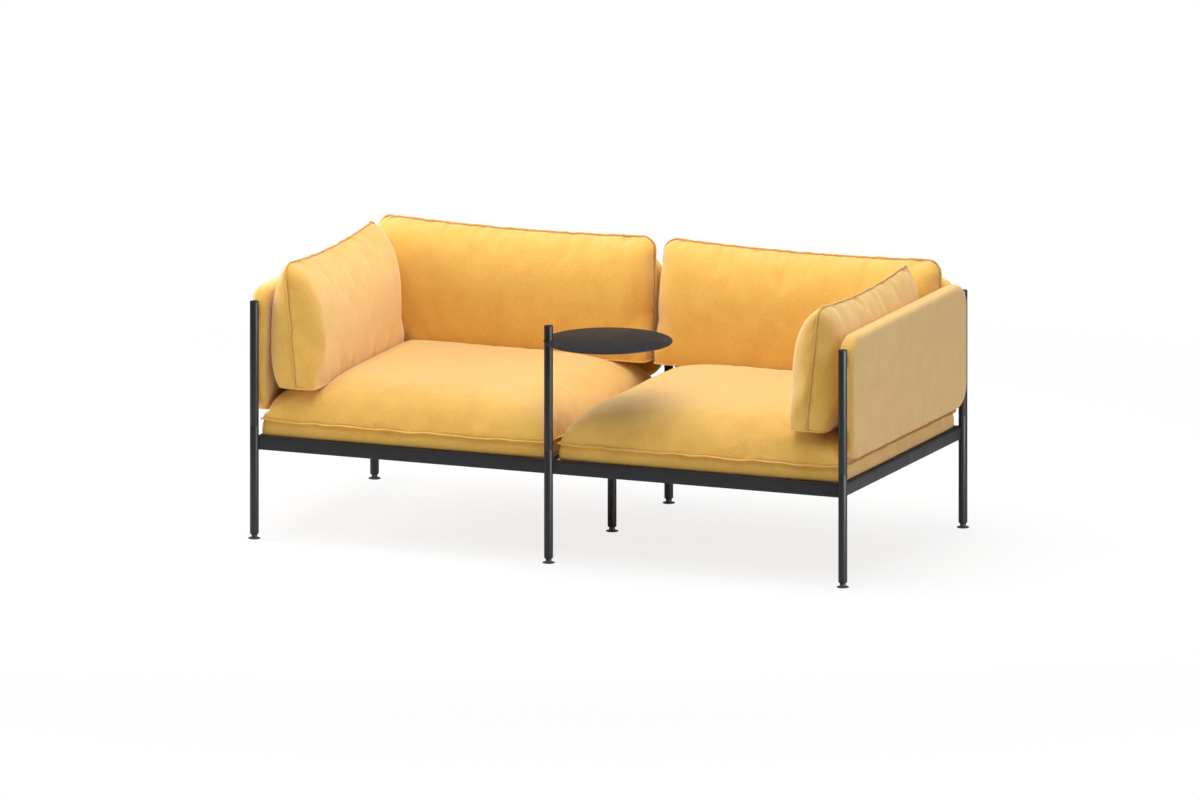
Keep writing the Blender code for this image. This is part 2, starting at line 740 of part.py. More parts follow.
def perimeter(rows):
    """Grid positions round the edge of the rows, anticlockwise."""
    last_row = len(rows) - 1
    last = len(rows[0]) - 1
    around = [(0, i) for i in range(last)]
    around += [(j, last) for j in range(last_row)]
    around += [(last_row, i) for i in range(last, 0, -1)]
    around += [(j, 0) for j in range(last_row, 0, -1)]
    return around


def offset_ring(rows, outset, height):
    """The edge of the rows, moved outwards and set at a height."""
    half_x = max(point[0] for point in rows[0])
    half_y = max(row[0][1] for row in rows)
    ring = []
    for j, i in perimeter(rows):
        x, y, _ = rows[j][i]
        ring.append((x * (1 + outset / half_x), y * (1 + outset / half_y), height))
    return ring


def seat_mesh(name, half_x, half_y, dent_x, dent_y, tuck_x):
    """A seat cushion: boxed base, flange and crowned top in one closed skin."""
    rows = seat_top(half_x, half_y, dent_x, dent_y, tuck_x)
    base_inset = -SEAT_BORDER_FLARE
    flange_low = SEAT_SEAM - FLANGE_THICKNESS / 2
    flange_high = SEAT_SEAM + FLANGE_THICKNESS / 2
    rings = [
        offset_ring(rows, base_inset - SEAT_EDGE_RADIUS, SEAT_BOTTOM),
        offset_ring(rows, base_inset, SEAT_BOTTOM + SEAT_EDGE_RADIUS),
        offset_ring(rows, 0.0, flange_low),
        offset_ring(rows, FLANGE_WIDTH, SEAT_SEAM - FLANGE_THICKNESS / 4),
        offset_ring(rows, FLANGE_WIDTH, SEAT_SEAM + FLANGE_THICKNESS / 4),
        offset_ring(rows, 0.0, flange_high),
    ]
    around = perimeter(rows)
    count = len(around)
    points = [point for ring in rings for point in ring]
    index = {place: (len(rings) - 1) * count + k for k, place in enumerate(around)}
    for j, row in enumerate(rows):
        for i, point in enumerate(row):
            if (j, i) not in index:
                index[(j, i)] = len(points)
                points.append(point)
    faces = [tuple(reversed(range(count)))]
    for k in range(len(rings) - 1):
        for i in range(count):
            low = k * count
            high = low + count
            j = (i + 1) % count
            faces.append((low + i, low + j, high + j, high + i))
    for j in range(len(rows) - 1):
        for i in range(len(rows[0]) - 1):
            corners = ((j, i), (j, i + 1), (j + 1, i + 1), (j + 1, i))
            faces.append(tuple(index[corner] for corner in corners))
    return smooth(mesh_from(name, points, faces), angle=60)


def build_seats(root):
    inner = SEAT_MIDDLE_INSET - SEAT_BORDER_FLARE
    outer = MODULE_PITCH - SEAT_OUTER_INSET + SEAT_BORDER_FLARE
    front = SEAT_FRONT_INSET - SEAT_BORDER_FLARE
    back = MODULE_DEPTH - SEAT_BACK_INSET + SEAT_BORDER_FLARE
    half_x = (outer - inner) / 2
    half_y = (back - front) / 2
    base_reach = PANEL_INNER_FACE + LOOSE_BASE_STANDOFF + LOOSE_BASE_THICKNESS + DENT_MARGIN
    dent_x = MODULE_PITCH - base_reach - (outer + inner) / 2
    dent_y = MODULE_DEPTH - base_reach - (front + back) / 2
    tuck_x = MODULE_PITCH - PANEL_INNER_FACE - TUCK_MARGIN - (outer + inner) / 2
    for side, sign in (("left", -1), ("right", 1)):
        name = f"seat_cushion_{side}"
        mesh = seat_mesh(name, half_x, half_y, sign * dent_x, dent_y, sign * tuck_x)
        place = (sign * (outer + inner) / 2, (front + back) / 2, 0.0)
        add_object(name, mesh, YELLOW_WOOL, root, place)


def loose_seam(share):
    """Distance of a loose cushion's seam from the panel's face, at a share of its height."""
    foot = LOOSE_BASE_STANDOFF + LOOSE_BASE_THICKNESS / 2
    return foot + (LOOSE_RIDGE_STANDOFF - foot) * share


def loose_faces(share, height):
    """Distances of a loose cushion's two faces from the panel's face, the nearer one first."""
    belly = LOOSE_BELLY_HEIGHT / height
    near = GAP
    far = GAP + LOOSE_THICKNESS
    if share < belly:
        ease = (1 - share / belly) ** 2
        base_far = LOOSE_BASE_STANDOFF + LOOSE_BASE_THICKNESS
        return near + (LOOSE_BASE_STANDOFF - near) * ease, far + (base_far - far) * ease
    seam = loose_seam(share)
    rise = (share - belly) / (1 - belly)
    fullness = max(1 - rise**RIDGE_SHARPNESS, 0.0) ** RIDGE_FULLNESS
    return seam + (near - seam) * fullness, seam + (far - seam) * fullness


def loose_reach(length, height, share):
    """Half the length of a loose cushion's seam at a share of its height."""
    below_top = height * (1 - share)
    inset = 0.0
    if below_top < LOOSE_CORNER_RADIUS:
        drop = LOOSE_CORNER_RADIUS - below_top
        inset = LOOSE_CORNER_RADIUS - math.sqrt(LOOSE_CORNER_RADIUS**2 - drop**2)
    return length / 2 - LOOSE_END_LEAN * share - inset - LOOSE_SEAM_LIP


def loose_stations(reach):
    """Places along a cushion, with the share of its full thickness that it has at each."""
    stations = []
    for step in range(LOOSE_END_STEPS + 1):
        angle = math.pi / 2 * step / LOOSE_END_STEPS
        stations.append((reach - LOOSE_END_DEPTH * (1 - math.cos(angle)), math.sin(angle)))
    flat = reach - LOOSE_END_DEPTH
    middle = [
        (flat * (2 * step / LOOSE_MIDDLE_STEPS - 1), 1.0) for step in range(1, LOOSE_MIDDLE_STEPS)
    ]
    return [(-x, bow) for x, bow in stations] + middle + stations[::-1]


def loose_ring(size, share, base, crease=0.0):
    """One level of a loose cushion: two bowed faces that meet in a seam lip at each end."""
    length, height, sag = size
    seam = loose_seam(share)
    near, far = loose_faces(share, height)
    half_lip = LOOSE_SEAM_WIDTH / 2
    reach = loose_reach(length, height, share) - crease
    side = reach + LOOSE_SEAM_LIP
    far_side = [(-side, -(seam + half_lip))]
    near_side = [(-side, -(seam - half_lip))]
    for x, bow in loose_stations(reach):
        far_side.append((x, -(seam + max((far - crease - seam) * bow, half_lip))))
        near_side.append((x, -(seam - max((seam - near - crease) * bow, half_lip))))
    far_side.append((side, -(seam + half_lip)))
    near_side.append((side, -(seam - half_lip)))
    ring = []
    for x, y in far_side + near_side[::-1]:
        dip = sag * share**2 * (1 - (x / side) ** 2)
        ring.append((x, y, base - dip))
    return ring


def loose_mesh(name, size):
    """A loose cushion along X, standing on Z = 0, with the panel's face behind it on Y = 0."""
    height = size[1]
    rings = [loose_ring(size, 0.0, 0.0, LOOSE_BASE_CREASE)]
    for level in range(LOOSE_LEVELS + 1):
        share = math.sin(math.pi / 2 * level / LOOSE_LEVELS)
        rings.append(loose_ring(size, share, LOOSE_BASE_CREASE + (height - LOOSE_BASE_CREASE) * share))
    rings.append(loose_ring(size, 1.0, height + LOOSE_SEAM_LIP))
    count = len(rings[0])
    points = [point for ring in rings for point in ring]
    faces = []
    for k in range(len(rings) - 1):
        for i in range(count):
            j = (i + 1) % count
            low = k * count
            high = low + count
            faces.append((low + i, low + j, high + j, high + i))
    top = len(points) - count
    for i in range(count // 2 - 1):
        across = count - 1 - i
        faces.append((i + 1, i, across, across - 1))
        faces.append((top + i, top + i + 1, top + across - 1, top + across))
    return smooth(mesh_from(name, points, faces), angle=60)


def build_loose_cushions(root):
    """Arm cushions against the arm panels and back cushions against the back panels."""
    arm_face = MODULE_PITCH - PANEL_INNER_FACE
    back_face = MODULE_DEPTH - PANEL_INNER_FACE
    arm_middle = ARM_CUSHION_FRONT + ARM_CUSHION_LENGTH / 2
    back_middle = (BACK_CUSHION_LENGTH + BACK_CUSHION_GAP) / 2
    for side, sign in (("left", -1), ("right", 1)):
        arm = f"arm_cushion_{side}"
        arm_place = (sign * arm_face, arm_middle, LOOSE_REST)
        arm_turn = -sign * math.pi / 2
        arm_mesh = loose_mesh(arm, (ARM_CUSHION_LENGTH, ARM_CUSHION_HEIGHT, ARM_RIDGE_SAG))
        add_object(arm, arm_mesh, YELLOW_WOOL, root, arm_place, arm_turn)
        back = f"back_cushion_{side}"
        back_place = (sign * back_middle + BACK_CUSHION_SHIFT, back_face, LOOSE_REST)
        back_mesh = loose_mesh(back, (BACK_CUSHION_LENGTH, BACK_CUSHION_HEIGHT, BACK_RIDGE_SAG))
        add_object(back, back_mesh, YELLOW_WOOL, root, back_place)


def main():
    clear_scene()
    root = empty("sofa", None, (0.0, FRONT_LINE_Y, 0.0))
    build_perimeter_rails(root)
    build_centre_rail(root)
    build_legs_and_feet(root)
    posts = build_posts(root)
    build_tray(root)
    build_panels(root, posts)
    build_decks(root)
    build_seats(root)
    build_loose_cushions(root)


main()
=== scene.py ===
"""Finished look of a two-seater modular sofa with a tray table on its middle front post.

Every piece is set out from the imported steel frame. X runs along the front, Y from the front to
the back and Z up, in metres. Cloth skins are rows of points with their own cloth coordinates in
metres, so that weave, seams and stitches keep their real size.
"""

from __future__ import annotations

import logging
import math
from collections.abc import Iterable, Sequence
from dataclasses import dataclass
from enum import Enum

import bmesh
import bpy
import numpy as np
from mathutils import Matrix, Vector
from mathutils.kdtree import KDTree


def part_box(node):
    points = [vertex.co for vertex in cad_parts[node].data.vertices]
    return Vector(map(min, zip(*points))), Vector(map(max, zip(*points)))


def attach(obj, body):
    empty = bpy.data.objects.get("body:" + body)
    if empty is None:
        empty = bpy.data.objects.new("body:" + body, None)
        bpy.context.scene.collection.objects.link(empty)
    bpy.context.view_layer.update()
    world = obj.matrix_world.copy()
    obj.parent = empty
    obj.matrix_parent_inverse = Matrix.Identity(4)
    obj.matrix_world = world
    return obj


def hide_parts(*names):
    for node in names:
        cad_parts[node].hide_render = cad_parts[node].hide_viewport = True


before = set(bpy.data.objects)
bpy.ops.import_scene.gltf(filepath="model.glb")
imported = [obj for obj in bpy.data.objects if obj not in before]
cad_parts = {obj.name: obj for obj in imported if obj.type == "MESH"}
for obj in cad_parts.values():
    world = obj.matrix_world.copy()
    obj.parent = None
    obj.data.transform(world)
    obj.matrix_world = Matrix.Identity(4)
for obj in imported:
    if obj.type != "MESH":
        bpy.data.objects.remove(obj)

log = logging.getLogger("sofa")

GAP = 0.0003
TUBE_RADIUS = 0.012
TUBE_SIDES = 48
CLOTH_COORDINATES = "cloth"
SEAM_DIRECTION = "outward"
STITCH_LEVEL = 0.47
UP = np.array([0.0, 0.0, 1.0])


class Body(Enum):
    """Bodies of the sofa that pieces ride on."""

    FRAME = "frame"
    TRAY = "tray"


class Slot(Enum):
    """Material slots of the record, one for each kind of the script's own pieces."""

    STEEL = "powder_coated_steel"
    NYLON = "nylon"
    WOOL = "wool_cloth"


def linear(code: str) -> tuple[float, float, float, float]:
    """Turns an sRGB hex colour into linear light.

    Args:
        code: Six hex digits, red first.

    Returns:
        Red, green, blue and an alpha of 1.
    """
    shares = [int(code[i : i + 2], 16) / 255 for i in (0, 2, 4)]
    red, green, blue = (s / 12.92 if s <= 0.04045 else ((s + 0.055) / 1.055) ** 2.4 for s in shares)
    return red, green, blue, 1.0


def feed(node: bpy.types.Node, feeds: dict) -> None:
    """Links or sets inputs of a node.

    Args:
        node: The node.
        feeds: For each input, by name or number, its value, the socket that feeds it, or the
            node whose first output does.
    """
    for place, source in feeds.items():
        if isinstance(source, bpy.types.Node):
            source = source.outputs[0]
        if isinstance(source, bpy.types.NodeSocket):
            node.id_data.links.new(source, node.inputs[place])
        else:
            node.inputs[place].default_value = source


def add_node(
    tree: bpy.types.NodeTree, kind: str, feeds: dict | None = None, **settings: object
) -> bpy.types.Node:
    """Adds a node with its settings and links.

    Args:
        tree: Tree that gets the node.
        kind: Blender's name of the node type.
        feeds: What feeds its inputs.
        settings: The node's own properties.

    Returns:
        The new node.
    """
    node = tree.nodes.new(kind)
    for name, value in settings.items():
        setattr(node, name, value)
    feed(node, feeds or {})
    return node


def noise(period: float) -> float:
    """Scale of a noise texture whose lumps are one period across, in metres."""
    return 1.0 / period


def waves(period: float) -> float:
    """Scale of a wave texture whose bands are one period apart, in metres."""
    return math.pi / 10 / period


@dataclass(frozen=True)
class Finish:
    """A finish that makes its material once and shares it."""

    name: str
    colour: str
    roughness: float

    def material(self) -> bpy.types.Material:
        """The finish's material, made the first time it is asked for.

        Returns:
            The material.
        """
        found = bpy.data.materials.get(self.name)
        if found is not None:
            return found
        made = bpy.data.materials.new(self.name)
        made.use_nodes = True
        tree = made.node_tree
        tree.nodes.clear()
        feeds = {"Base Color": linear(self.colour), "Roughness": self.roughness}
        shader = add_node(tree, "ShaderNodeBsdfPrincipled", feeds)
        add_node(tree, "ShaderNodeOutputMaterial", {"Surface": shader})
        self.dress(tree, shader)
        return made

    def dress(self, tree: bpy.types.NodeTree, shader: bpy.types.Node) -> None:
        """Adds what the finish shows beyond a plain colour.

        Args:
            tree: The material's tree.
            shader: Its shader.
        """

    @staticmethod
    def bump(shader: bpy.types.Node, height: object, depth: float, strength: float) -> None:
        """Feeds a height pattern into a shader's normal.

        Args:
            shader: The shader.
            height: What gives the pattern, from 0 to 1.
            depth: Depth of the pattern in metres.
            strength: Share of the bump that is kept.
        """
        feeds = {"Height": height, "Distance": depth, "Strength": strength}
        feed(shader, {"Normal": add_node(shader.id_data, "ShaderNodeBump", feeds)})


@dataclass(frozen=True)
class WoolCloth(Finish):
    """Fulled wool upholstery cloth: plain weave under a felted nap.

    The nap gives it a soft pale edge where it turns away, a grainy look from a step away and
    almost no gloss. Dyed wool is never one even colour, so it is mottled.
    """

    pale: str = "EABA4F"
    tint: str = "FFF1D6"
    thread: float = 0.0021
    nap: float = 0.0046
    mottle: float = 0.055

    def dress(self, tree: bpy.types.NodeTree, shader: bpy.types.Node) -> None:
        """Mottled dye, felted nap and the weave that shows through it.

        Args:
            tree: The material's tree.
            shader: Its shader.
        """
        place = add_node(tree, "ShaderNodeTexCoord").outputs["Object"]
        cloth = add_node(tree, "ShaderNodeUVMap", uv_map=CLOTH_COORDINATES)
        feeds = {"Vector": place, "Scale": noise(self.mottle), "Detail": 4.0, "Roughness": 0.6}
        mottle = add_node(tree, "ShaderNodeTexNoise", feeds).outputs["Fac"]
        # The nap is drawn at twice its real size, so that its grain shows from a step away
        feeds = {"Vector": place, "Scale": noise(self.nap), "Detail": 3.0, "Roughness": 0.7}
        nap = add_node(tree, "ShaderNodeTexNoise", feeds).outputs["Fac"]
        feeds = {"Vector": cloth, "Scale": waves(self.thread), "Distortion": 0.6, "Detail": 1.0}
        warp, weft = (
            add_node(tree, "ShaderNodeTexWave", feeds, bands_direction=axis).outputs["Fac"]
            for axis in ("X", "Y")
        )
        weave = add_node(tree, "ShaderNodeMath", {0: warp, 1: weft}, operation="MULTIPLY")
        feeds = {"Value": nap, "From Min": 0.3, "From Max": 0.7}
        grain = add_node(tree, "ShaderNodeMapRange", feeds)
        feeds = {0: grain, 1: 0.55, 2: mottle}
        blend = add_node(tree, "ShaderNodeMath", feeds, operation="MULTIPLY_ADD")
        feeds = {"Value": blend, "From Min": 0.35, "From Max": 1.15}
        share = add_node(tree, "ShaderNodeMapRange", feeds)
        feeds = {"Factor": share, "A": linear(self.colour), "B": linear(self.pale)}
        dye = add_node(tree, "ShaderNodeMix", feeds, data_type="RGBA")
        feeds = {0: weave, 1: 0.35, 2: grain}
        height = add_node(tree, "ShaderNodeMath", feeds, operation="MULTIPLY_ADD")
        self.bump(shader, height, 0.0007, 0.5)
        feed(shader, {"Base Color": dye.outputs["Result"], "Specular IOR Level": 0.25})
        feed(shader, {"Sheen Weight": 0.85, "Sheen Roughness": 0.6, "Sheen Tint": linear(self.tint)})


@dataclass(frozen=True)
class PowderCoat(Finish):
    """Fine-textured black powder coat, baked onto steel.

    It gives a soft satin highlight that breaks up into a fine orange-peel skin.
    """

    peel: float = 0.0016
    patch: float = 0.09

    def dress(self, tree: bpy.types.NodeTree, shader: bpy.types.Node) -> None:
        """Orange-peel skin and the slight unevenness of its gloss.

        Args:
            tree: The material's tree.
            shader: Its shader.
        """
        place = add_node(tree, "ShaderNodeTexCoord").outputs["Object"]
        peel, patch = (
            add_node(
                tree, "ShaderNodeTexNoise", {"Vector": place, "Scale": noise(size), "Detail": detail}
            ).outputs["Fac"]
            for size, detail in ((self.peel, 2.0), (self.patch, 3.0))
        )
        feeds = {"Value": patch, "From Min": 0.3, "From Max": 0.7}
        feeds |= {"To Min": self.roughness - 0.04, "To Max": self.roughness + 0.05}
        gloss = add_node(tree, "ShaderNodeMapRange", feeds)
        feed(shader, {"Roughness": gloss, "Specular IOR Level": 0.3})
        self.bump(shader, peel, 0.0002, 0.35)


@dataclass(frozen=True)
class MouldedNylon(Finish):
    """Glass-filled nylon, spark-eroded mould skin: dull, even, faintly pebbled."""

    pebble: float = 0.0009

    def dress(self, tree: bpy.types.NodeTree, shader: bpy.types.Node) -> None:
        """The pebbled skin that the mould leaves.

        Args:
            tree: The material's tree.
            shader: Its shader.
        """
        place = add_node(tree, "ShaderNodeTexCoord").outputs["Object"]
        feeds = {"Vector": place, "Scale": noise(self.pebble)}
        pebble = add_node(tree, "ShaderNodeTexVoronoi", feeds)
        self.bump(shader, pebble.outputs["Distance"], 0.00015, 0.4)


@dataclass(frozen=True)
class ZincPlate(Finish):
    """Bright zinc plate on steel: grey metal with a faint spangle and cloudy gloss."""

    spangle: float = 0.004

    def dress(self, tree: bpy.types.NodeTree, shader: bpy.types.Node) -> None:
        """Metal whose gloss changes from crystal to crystal.

        Args:
            tree: The material's tree.
            shader: Its shader.
        """
        place = add_node(tree, "ShaderNodeTexCoord").outputs["Object"]
        feeds = {"Vector": place, "Scale": noise(self.spangle)}
        crystal = add_node(tree, "ShaderNodeTexVoronoi", feeds).outputs["Color"]
        feeds = {"Value": crystal, "To Min": self.roughness - 0.08, "To Max": self.roughness + 0.08}
        feed(shader, {"Metallic": 1.0, "Roughness": add_node(tree, "ShaderNodeMapRange", feeds)})


@dataclass(frozen=True)
class BirchPly(Finish):
    """Sanded birch plywood: pale long-grained faces, and veneers in stripes along the edges."""

    dark: str = "B98F5E"
    veneer: float = 0.0013
    grain: float = 0.006

    def dress(self, tree: bpy.types.NodeTree, shader: bpy.types.Node) -> None:
        """Grain on the faces and the stack of veneers on the edges.

        Args:
            tree: The material's tree.
            shader: Its shader.
        """
        place = add_node(tree, "ShaderNodeTexCoord").outputs["Object"]
        drawn_out = add_node(tree, "ShaderNodeMapping", {"Vector": place, "Scale": (1.0, 0.06, 1.0)})
        feeds = {"Vector": drawn_out, "Scale": noise(self.grain), "Detail": 5.0}
        grain = add_node(tree, "ShaderNodeTexNoise", feeds).outputs["Fac"]
        feeds = {"Vector": place, "Scale": waves(2 * self.veneer), "Distortion": 0.2}
        layers = add_node(tree, "ShaderNodeTexWave", feeds, bands_direction="Z", wave_profile="SIN")
        facing = add_node(tree, "ShaderNodeNewGeometry").outputs["Normal"]
        upright = add_node(tree, "ShaderNodeSeparateXYZ", {"Vector": facing}).outputs["Z"]
        flat = add_node(tree, "ShaderNodeMath", {0: upright}, operation="ABSOLUTE")
        feeds = {"Factor": flat, "A": layers.outputs["Fac"], "B": grain}
        pattern = add_node(tree, "ShaderNodeMix", feeds, data_type="FLOAT").outputs["Result"]
        feeds = {"Factor": pattern, "A": linear(self.dark), "B": linear(self.colour)}
        wood = add_node(tree, "ShaderNodeMix", feeds, data_type="RGBA").outputs["Result"]
        feed(shader, {"Base Color": wood})
        self.bump(shader, grain, 0.0002, 0.3)


WOOL = WoolCloth("mustard_wool_cloth", "DBA23A", 0.92)
WOOL_THREAD = Finish("mustard_sewing_thread", "E0AE50", 0.7)
COATED_STEEL = PowderCoat("black_powder_coated_steel", "252529", 0.46)
NYLON = MouldedNylon("black_moulded_nylon", "4A494E", 0.5)
ZINC = ZincPlate("zinc_plated_steel", "B4B6B8", 0.36)
BIRCH = BirchPly("birch_plywood", "DDC39A", 0.62)


@dataclass(frozen=True)
class Place:
    """The box that one node of the steel frame fills at rest."""

    low: Vector
    high: Vector

    @classmethod
    def of(cls, node: str) -> Place:
        """The box round a node."""
        return cls(*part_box(node))

    @property
    def centre(self) -> Vector:
        """Middle of the box."""
        return (self.low + self.high) / 2

    @property
    def spot(self) -> Vector:
        """The point of the floor under the middle of the box."""
        return Vector((self.centre.x, self.centre.y, 0.0))

    @property
    def size(self) -> Vector:
        """Sizes of the box."""
        return self.high - self.low


def ripple(along: np.ndarray, period: float, seed: int) -> np.ndarray:
    """An uneven wave along a line, about -1 to 1, the same each time for one seed.

    Args:
        along: Distances along the line, in metres.
        period: Mean length of a wave, in metres.
        seed: Picks the wave.

    Returns:
        The height at each distance.
    """
    pick = np.random.default_rng(seed)
    total = np.zeros_like(along)
    for stretch in (0.62, 0.83, 1.0, 1.37, 1.9):
        height = pick.uniform(0.5, 1.0)
        start = pick.uniform(0, 2 * np.pi)
        total += height * np.sin(2 * np.pi * along / (period * stretch) + start)
    return total / 2.2


@dataclass(frozen=True)
class Wave:
    """An uneven wave: its height, its mean length, and what sets it apart from a piece's others."""

    height: float
    period: float
    seed: int = 0

    def along(self, places: np.ndarray, seed: int) -> np.ndarray:
        """The wave's height at places along a line of a piece that has its own seed."""
        return self.height * ripple(places, self.period, seed + self.seed)


def ease(share: np.ndarray | float) -> np.ndarray:
    """Smooth step from 0 to 1."""
    held = np.clip(share, 0.0, 1.0)
    return held * held * (3 - 2 * held)


def distances(points: np.ndarray) -> np.ndarray:
    """Distance of each point of a line from its first, along the line."""
    return np.concatenate([[0.0], np.cumsum(np.linalg.norm(np.diff(points, axis=0), axis=1))])


def unit(directions: np.ndarray) -> np.ndarray:
    """The directions, each of length 1."""
    return directions / np.linalg.norm(directions, axis=1, keepdims=True)


def smoothed(values: np.ndarray, closed: bool) -> np.ndarray:
    """Evens out directions along a line.

    Args:
        values: The directions.
        closed: Whether the line closes on itself.

    Returns:
        The new directions, each of length 1.
    """
    reach = 3
    padded = np.pad(values, ((reach, reach), (0, 0)), mode="wrap" if closed else "edge")
    return unit(sum(padded[k : k + len(values)] for k in range(2 * reach + 1)))


def away_from_middle(points: np.ndarray, directions: np.ndarray) -> np.ndarray:
    """Turns directions along a line outwards.

    Args:
        points: Points of the line.
        directions: A direction at each of them, all on one side of it.

    Returns:
        The directions on the line's outer side, each of length 1.
    """
    out = unit(directions)
    outer = np.einsum("ij,ij->i", out, points - points.mean(axis=0)).sum() >= 0
    return out if outer else -out


def linked(name: str, data: bpy.types.ID) -> bpy.types.Object:
    """Puts a new object in the scene.

    Args:
        name: Name of the object.
        data: Its mesh, lamp or camera.

    Returns:
        The object, at the origin.
    """
    made = bpy.data.objects.new(name, data)
    bpy.context.scene.collection.objects.link(made)
    return made


class ClothSkin:
    """A closed skin of cloth panels sewn edge to edge, with cloth coordinates in metres."""

    def __init__(self, name: str) -> None:
        """Starts an empty skin.

        Args:
            name: Name of the skin.
        """
        self.name = name
        self.points: list[np.ndarray] = []
        self.count = 0
        self.faces: list[tuple[int, ...]] = []
        self.corners: list[tuple[float, float]] = []

    def add_points(self, points: np.ndarray) -> np.ndarray:
        """Adds points.

        Args:
            points: The points, in an array of any shape.

        Returns:
            Their numbers, in that shape.
        """
        flat = points.reshape(-1, 3)
        numbers = np.arange(self.count, self.count + len(flat)).reshape(points.shape[:-1])
        self.points.append(flat)
        self.count += len(flat)
        return numbers

    def add_grid(self, numbers: np.ndarray, cloth: np.ndarray) -> None:
        """Adds the faces between rows of numbered points.

        Args:
            numbers: Point numbers, rows by columns.
            cloth: Cloth coordinates of the same rows and columns.
        """
        rows, columns = numbers.shape
        for r in range(rows - 1):
            for c in range(columns - 1):
                ring = ((r, c), (r, c + 1), (r + 1, c + 1), (r + 1, c))
                seen = list({int(numbers[p]): p for p in ring}.items())
                if len(seen) > 2:
                    self.faces.append(tuple(number for number, _ in seen))
                    self.corners += [tuple(cloth[p]) for _, p in seen]

    def add_rings(
        self, rings: Sequence[np.ndarray], outline: np.ndarray, heights: Sequence[float]
    ) -> None:
        """Adds the faces between closed rings of numbered points.

        Args:
            rings: Point numbers of each ring.
            outline: Points of the line that measures the cloth round the rings.
            heights: Cloth height of each ring.
        """
        numbers = np.array([np.append(ring, ring[0]) for ring in rings])
        around = distances(np.vstack([outline, outline[:1]]))
        along = np.broadcast_to(around, numbers.shape)
        rise = np.broadcast_to(np.array(heights)[:, None], numbers.shape)
        self.add_grid(numbers, np.stack([along, rise], axis=-1))

    def add_face(self, numbers: Iterable[int], cloth: Iterable[tuple[float, float]]) -> None:
        """Adds one face with the cloth coordinates of its corners."""
        self.faces.append(tuple(int(number) for number in numbers))
        self.corners += [tuple(corner) for corner in cloth]

    def build(self) -> bpy.types.Object:
        """Makes the skin an object with its faces outwards.

        Returns:
            The object.
        """
        mesh = bpy.data.meshes.new(self.name)
        mesh.from_pydata(np.concatenate(self.points).tolist(), [], self.faces)
        layer = mesh.uv_layers.new(name=CLOTH_COORDINATES)
        layer.data.foreach_set("uv", np.array(self.corners, np.float32).ravel())
        shape = bmesh.new()
        shape.from_mesh(mesh)
        bmesh.ops.recalc_face_normals(shape, faces=shape.faces)
        centres = [face.calc_center_median() for face in shape.faces]
        middle = sum(centres, Vector()) / len(centres)
        facing_out = sum(
            (centre - middle).dot(face.normal) * face.calc_area()
            for centre, face in zip(centres, shape.faces)
        )
        if facing_out < 0:
            bmesh.ops.reverse_faces(shape, faces=shape.faces)
        shape.to_mesh(mesh)
        shape.free()
        mesh.shade_smooth()
        return linked(self.name, mesh)


def coordinates(mesh: bpy.types.Mesh) -> np.ndarray:
    """The points of a mesh.

    Args:
        mesh: The mesh.

    Returns:
        A row for each point.
    """
    flat = np.empty(len(mesh.vertices) * 3)
    mesh.vertices.foreach_get("co", flat)
    return flat.reshape(-1, 3)


def set_coordinates(mesh: bpy.types.Mesh, points: np.ndarray) -> None:
    """Moves the points of a mesh."""
    mesh.vertices.foreach_set("co", points.astype(np.float32).ravel())
    mesh.update()


def normals(mesh: bpy.types.Mesh) -> np.ndarray:
    """The point normals of a mesh.

    Args:
        mesh: The mesh.

    Returns:
        A row for each point.
    """
    flat = np.empty(len(mesh.vertices) * 3, np.float32)
    mesh.vertex_normals.foreach_get("vector", flat)
    return flat.reshape(-1, 3).astype(float)


def evaluated_mesh(piece: bpy.types.Object) -> bpy.types.Mesh:
    """Works the modifiers of a piece into a new mesh.

    Args:
        piece: The piece, which stays as it is.

    Returns:
        The mesh.
    """
    graph = bpy.context.evaluated_depsgraph_get()
    held = piece.evaluated_get(graph)
    return bpy.data.meshes.new_from_object(held, preserve_all_data_layers=True, depsgraph=graph)


def work_in(piece: bpy.types.Object) -> None:
    """Applies all the modifiers of a piece.

    Args:
        piece: The piece.
    """
    mesh = evaluated_mesh(piece)
    old = piece.data
    piece.modifiers.clear()
    piece.data = mesh
    bpy.data.meshes.remove(old)
    mesh.name = piece.name


